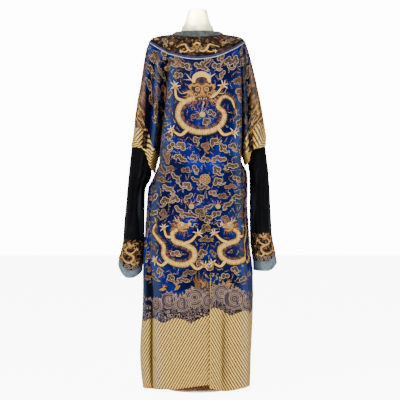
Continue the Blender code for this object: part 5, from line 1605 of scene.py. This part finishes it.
waves("wave_embroidery_back", "back", [(*seen(x, z), radius) for x, z, radius in billows], rng)
waveHeights = ((-0.30, 0.350), (-0.22, 0.345), (-0.14, 0.362), (-0.08, 0.385), (-0.03, 0.425), (0.0, 0.445), (0.03, 0.430),
               (0.08, 0.402), (0.14, 0.372), (0.22, 0.362), (0.30, 0.366))
foamLine("wave_embroidery_back", "back", waveHeights, rng)
foamLine("wave_embroidery_front", "front", waveHeights, rng)
waves("wave_embroidery_front", "front", [(s, 0.345, 0.030) for s in (-0.16, -0.09, -0.03, 0.04, 0.10, 0.17)], rng)
for x, z, turn in ((-0.078, 0.398, 0.2), (-0.132, 0.392, -0.4), (0.116, 0.412, -0.2), (0.024, 0.412, 0.5)):
    treasure(on(x, z, 0.0085, turn, piece="wave_embroidery_back"))
rocks(on(0.012, 0.405, 0.0095, piece="wave_embroidery_back"))
# a row of clouds under the piping, and clouds between the dragons
def busyOn(chart):
    return np.concatenate([np.stack([s.ravel(), v.ravel()], 1) for key, strokes in laidStrokes.items() if key[1] == chart
                           for s, v, *_ in strokes])[::5]


for x, z, form, turn in ((-0.098, 1.248, 0, 0.5), (-0.045, 1.233, 2, 0.15), (0.014, 1.229, 5, 0.0), (0.072, 1.235, 2, -0.2), (0.116, 1.252, 0, -0.5)):
    cloud(on(x, z, 0.0088, turn), form)
cloudPlaces = scatter("back", 0.40, 1.25, -0.34, 0.34, 0.0365, rng, -1, busyOn("back"), 0.0135)
cloudPlaces = [p for p in cloudPlaces if abs(p[2][0]) < 0.200 and p[2][2] > 0.405 + 0.03 * (abs(p[0]) < 0.1)]
cloudField("silk_embroidery_back", "back", cloudPlaces, 0.0074, rng)
frontPlaces = scatter("front", 0.42, 1.18, -0.34, 0.34, 0.047, rng, 1)
frontPlaces = [p for p in frontPlaces if abs(p[2][0]) < 0.200]
cloudField("silk_embroidery_front", "front", frontPlaces, 0.0088, rng)
squiggles = scatter("back", 0.42, 1.25, -0.32, 0.32, 0.017, rng, -1, busyOn("back"), 0.0078)
for s, v, point in squiggles:
    if abs(point[0]) < 0.198:
        spot = ground("silk_embroidery_back", "back", s, v, 0.0042, rng.uniform(0, 6), rng.choice((-1, 1)))
        curl(spot, 0, 0, 1.2, 0.5, 0.8, 0.30, rng.choice(("cloudEdge", "cloudGold", "pink", "bronze")), 0)
        stroke(spot, ((1.2, 0.4), (2.2, 1.4), (3.4, 1.2), (4.2, 2.0)), (0.34, 0.28, 0.2, 0.05), "cloudEdge", 0)

# dense gold and brown work on the outer sleeves, on both faces
for side, word in sideNames.items():
    for chart in ("back", "front"):
        piece = "sleeve_embroidery_" + word
        reach = (0.10, 0.46) if (side == right) == (chart == "back") else (-0.46, -0.10)
        places = spreadPlaces(chart, 0.93, 1.22, *reach, 0.0125, 0.0125, rng, -1 if chart == "back" else 1, (), 0.3)
        curlField(piece, chart, [p for p in places if abs(p[2][0]) > 0.2], 0.0044, rng)
    profileDragon(on(0.232 * side, 1.085, 0.0050, 1.5 * side, side, piece="sleeve_embroidery_" + word))

# collar: a small dragon at the middle, with flowers and clouds to both sides
collarLong = 0.44
frontalHead(ground("collar_embroidery", "collar", 0, 0.036, 0.0043), 4)
for flip in (1, -1):
    spot = ground("collar_embroidery", "collar", 0, 0.036, 0.0040, 0, flip)
    body(spot, ((1.6, -2.6), (5.0, -4.4), (8.4, -1.6), (11.6, 2.4), (15.2, 0.6), (18.2, -3.4)), (1.6, 2.2, 2.3, 2.1, 1.6, 0.5), 1, 1)
    limb(spot, ((7.2, -2.4), (9.4, -5.6), (12.4, -6.0)), (1.6, 1.2, 0.8), 0.0, 0.8, 3)
    for s, kind in ((0.098, 0), (0.128, 1), (0.162, 0), (0.192, 2), (0.226, 1), (0.258, 0), (0.292, 2), (0.326, 1), (0.360, 0), (0.392, 1)):
        high = 0.030 + 0.010 * math.sin(s * 70)
        spot = ground("collar_embroidery", "collar", s * flip, high, 0.0058, 0.3 * math.sin(s * 40), flip)
        if kind == 0:
            flower(spot, 6, "gold", "pink", 2)
        elif kind == 1:
            cloud(moved(spot, 0, 0, 1.05), 1)
        else:
            flower(spot, 5, "pink", "pale", 2)
            flame(spot, 1.4, 1.0, 0.8, 2.2, 0.6, "bronze")
places = spreadPlaces("collar", 0.004, 0.072, -collarLong, collarLong, 0.0160, 0.0145, rng, 0, (), 0.35)
curlField("collar_embroidery", "collar", places, 0.0037, rng, ("gold", "bronze", "cream", "gold", "pink", "brown"))

# cuffs: a dragon on each outer face over a row of small waves
for side, word in sideNames.items():
    piece, chart = "cuff_embroidery_" + word, "cuff_" + word
    profileDragon(ground(piece, chart, 0.012 * side, 0.092, 0.0036, 0, -side))
    profileDragon(ground(piece, chart, 0.200 * side, 0.088, 0.0032, 0, side))
    for s in np.arange(-0.05, 0.26, 0.031):
        billow(ground(piece, chart, s * side, 0.009, 0.0042), 2.6)
    places = spreadPlaces(chart, 0.006, 0.110, -0.13, 0.24, 0.0125, 0.0120, rng, 0, (), 0.35)
    curlField(piece, chart, places, 0.0036, rng, ("gold", "bronze", "cream", "gold", "brown"))


def layThreads(name):
    bm = bmesh.new()
    tints, runs = [], []
    for (owner, chart, across), strokes in laidStrokes.items():
        if owner != name:
            continue
        lengths = [len(entry[0]) for entry in strokes]
        s, v, lift, run, over = [np.concatenate([entry[k] for entry in strokes]).ravel() for k in range(5)]
        lift = lift + np.repeat([0.000012 * (k % 12) for k in range(len(strokes))], [n * (across + 1) for n in lengths])
        points, normals = charts[chart](s, v)
        points = points + normals * lift[:, None]
        made = bmesh.ops.create_grid(bm, x_segments=across, y_segments=sum(lengths) - 1, size=1)["verts"]
        for vert, point in zip(made, points):
            vert.co = point
        joins, row = [], 0
        for length in lengths[:-1]:
            row += length
            joins += [bm.edges.get((made[(row - 1) * (across + 1) + k], made[row * (across + 1) + k])) for k in range(across + 1)]
        bmesh.ops.delete(bm, geom=joins, context="EDGES")
        tints.append(np.concatenate([np.tile(entry[5], (n * (across + 1), 1)) for entry, n in zip(strokes, lengths)]))
        runs.append(np.stack([run, over], 1))
    tint, place = np.concatenate(tints), np.concatenate(runs)
    mesh = bpy.data.meshes.new(name)
    bm.to_mesh(mesh)
    bm.free()
    layer = mesh.color_attributes.new("tint", "FLOAT_COLOR", "POINT")
    layer.data.foreach_set("color", np.concatenate([tint, np.ones((len(tint), 1))], 1).astype(np.float32).ravel())
    corners = np.empty(len(mesh.loops), dtype=np.int32)
    mesh.loops.foreach_get("vertex_index", corners)
    mesh.uv_layers.new(name="cloth").data.foreach_set("uv", place[corners].astype(np.float32).ravel())
    mesh.shade_smooth()
    mesh.materials.append(paints["thread"])
    piece = bpy.data.objects.new(name, mesh)
    bpy.context.collection.objects.link(piece)
    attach(piece, "root")
    print(name, len(mesh.polygons), "faces")
    return piece


# painted highlight: a thin pale line along the raised edge of the vent, from the hem up to the vent's top
paintedVentHighlight = ground("hem_and_vent_trim", "back", 0, 0, 0.01)
stroke(paintedVentHighlight, ((0.30, 2.6), (0.30, 20.0), (0.28, 44.5)), (0.14, 0.16, 0.12), "pale", 0)
for x, z, size in ((-0.165, 0.136, 0.0030), (-0.160, 0.128, 0.0042), (-0.157, 0.122, 0.0020), (-0.144, 0.058, 0.0026)):
    disc(on(x, z, size, piece="hem_and_vent_trim"), 0, 0, 1.0, "brown", 0)
for x, wide, colour in ((-0.188, 0.024, "orange"), (0.172, 0.026, "orange")):
    s, v = seen(x, 0.030)
    stroke(ground("hem_and_vent_trim", "back", s, v - 0.011, 1.0), ((-wide / 2, 0.001), (0, 0), (wide / 2, 0.001)), (0.004, 0.010, 0.006), colour, 0)
embroideries = [layThreads(name) for name in dict.fromkeys(key[0] for key in laidStrokes)]
print("embroidery laid")


# ---- CAD nodes that stay take finer finishes
for number in range(1, 6):
    for name, finish in (("button_%d", paints["brass"]), ("loop_%d", paints["navy"])):
        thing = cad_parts[name % number]
        thing.data.materials.clear()
        thing.data.materials.append(finish)
for name, finish in (("form_torso", "linen"), ("form_neck", "linen"), ("stand_pole", "metal"), ("stand_base", "metal")):
    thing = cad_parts[name]
    thing.data.materials.clear()
    thing.data.materials.append(paints[finish])

# ---- floor, light and camera
floor = bmesh.new()
bmesh.ops.create_grid(floor, x_segments=1, y_segments=1, size=12)
bmesh.ops.translate(floor, verts=floor.verts, vec=(0, 0, -0.001))
floorMesh = bpy.data.meshes.new("studio_floor")
floor.to_mesh(floorMesh)
floor.free()
floorPaint = Paint("pale floor", (0.92, 0.92, 0.92), 0.9)
floorPaint.set("Emission Strength", 9.0)
floorPaint.set("Emission Color", floorPaint.mix(floorPaint.node("ShaderNodeLightPath", {}, {}), (0.10, 0.10, 0.10), (1.0, 1.0, 1.0)))
floorMesh.materials.append(floorPaint.material)
studioFloor = bpy.data.objects.new("studio_floor", floorMesh)
bpy.context.collection.objects.link(studioFloor)


def softBox(name, place, target, size, power, colour=(1, 1, 1), spread=math.pi):
    light = bpy.data.lights.new(name, "AREA")
    light.shape, light.size, light.energy, light.color = "SQUARE", size, power, colour
    light.spread = spread
    box = bpy.data.objects.new(name, light)
    box.location = place
    box.rotation_euler = (Vector(target) - Vector(place)).to_track_quat("-Z", "Y").to_euler()
    bpy.context.collection.objects.link(box)


lights = {"key": 160, "side": 36, "top": 46, "world": 0.22, "backdrop": 14.0, "neck": 0.28}
softBox("key", (-1.2, -3.2, 2.6), (0, 0, 0.9), 1.6, lights["key"])
softBox("side", (2.6, -2.2, 1.8), (0, 0, 0.8), 1.6, lights["side"])
softBox("top", (0, 0.4, 3.4), (0, 0, 0.9), 1.8, lights["top"])
softBox("neck", (-0.15, -1.9, 1.75), (0.0, 0, 1.438), 0.03, lights["neck"], (1, 0.96, 0.80), math.radians(3.8))
world = bpy.data.worlds.new("studio")
world.use_nodes = True
backdrop = world.node_tree.nodes["Background"]
backdrop.inputs[0].default_value = (1, 1, 1, 1)
seenBackdrop = world.node_tree.nodes.new("ShaderNodeMapRange")  # bright to the eye, soft as a light
ray = world.node_tree.nodes.new("ShaderNodeLightPath")
world.node_tree.links.new(ray.outputs["Is Camera Ray"], seenBackdrop.inputs[0])
seenBackdrop.inputs[3].default_value, seenBackdrop.inputs[4].default_value = lights["world"], lights["backdrop"]
world.node_tree.links.new(seenBackdrop.outputs[0], backdrop.inputs[1])
bpy.context.scene.world = world

picture = {"distance": 5.0, "height": 0.728, "aside": 0.0097, "metresPerPixel": 0.00387, "pixels": 400, "sensor": 36.0}
lens = bpy.data.cameras.new("camera")
lens.sensor_width = picture["sensor"]
lens.lens = picture["sensor"] * picture["distance"] / (picture["pixels"] * picture["metresPerPixel"])
lens.clip_end = 50
camera = bpy.data.objects.new("camera", lens)
camera.location = (picture["aside"], -picture["distance"], picture["height"])
camera.rotation_euler = (math.pi / 2, 0, 0)
bpy.context.collection.objects.link(camera)
bpy.context.scene.camera = camera
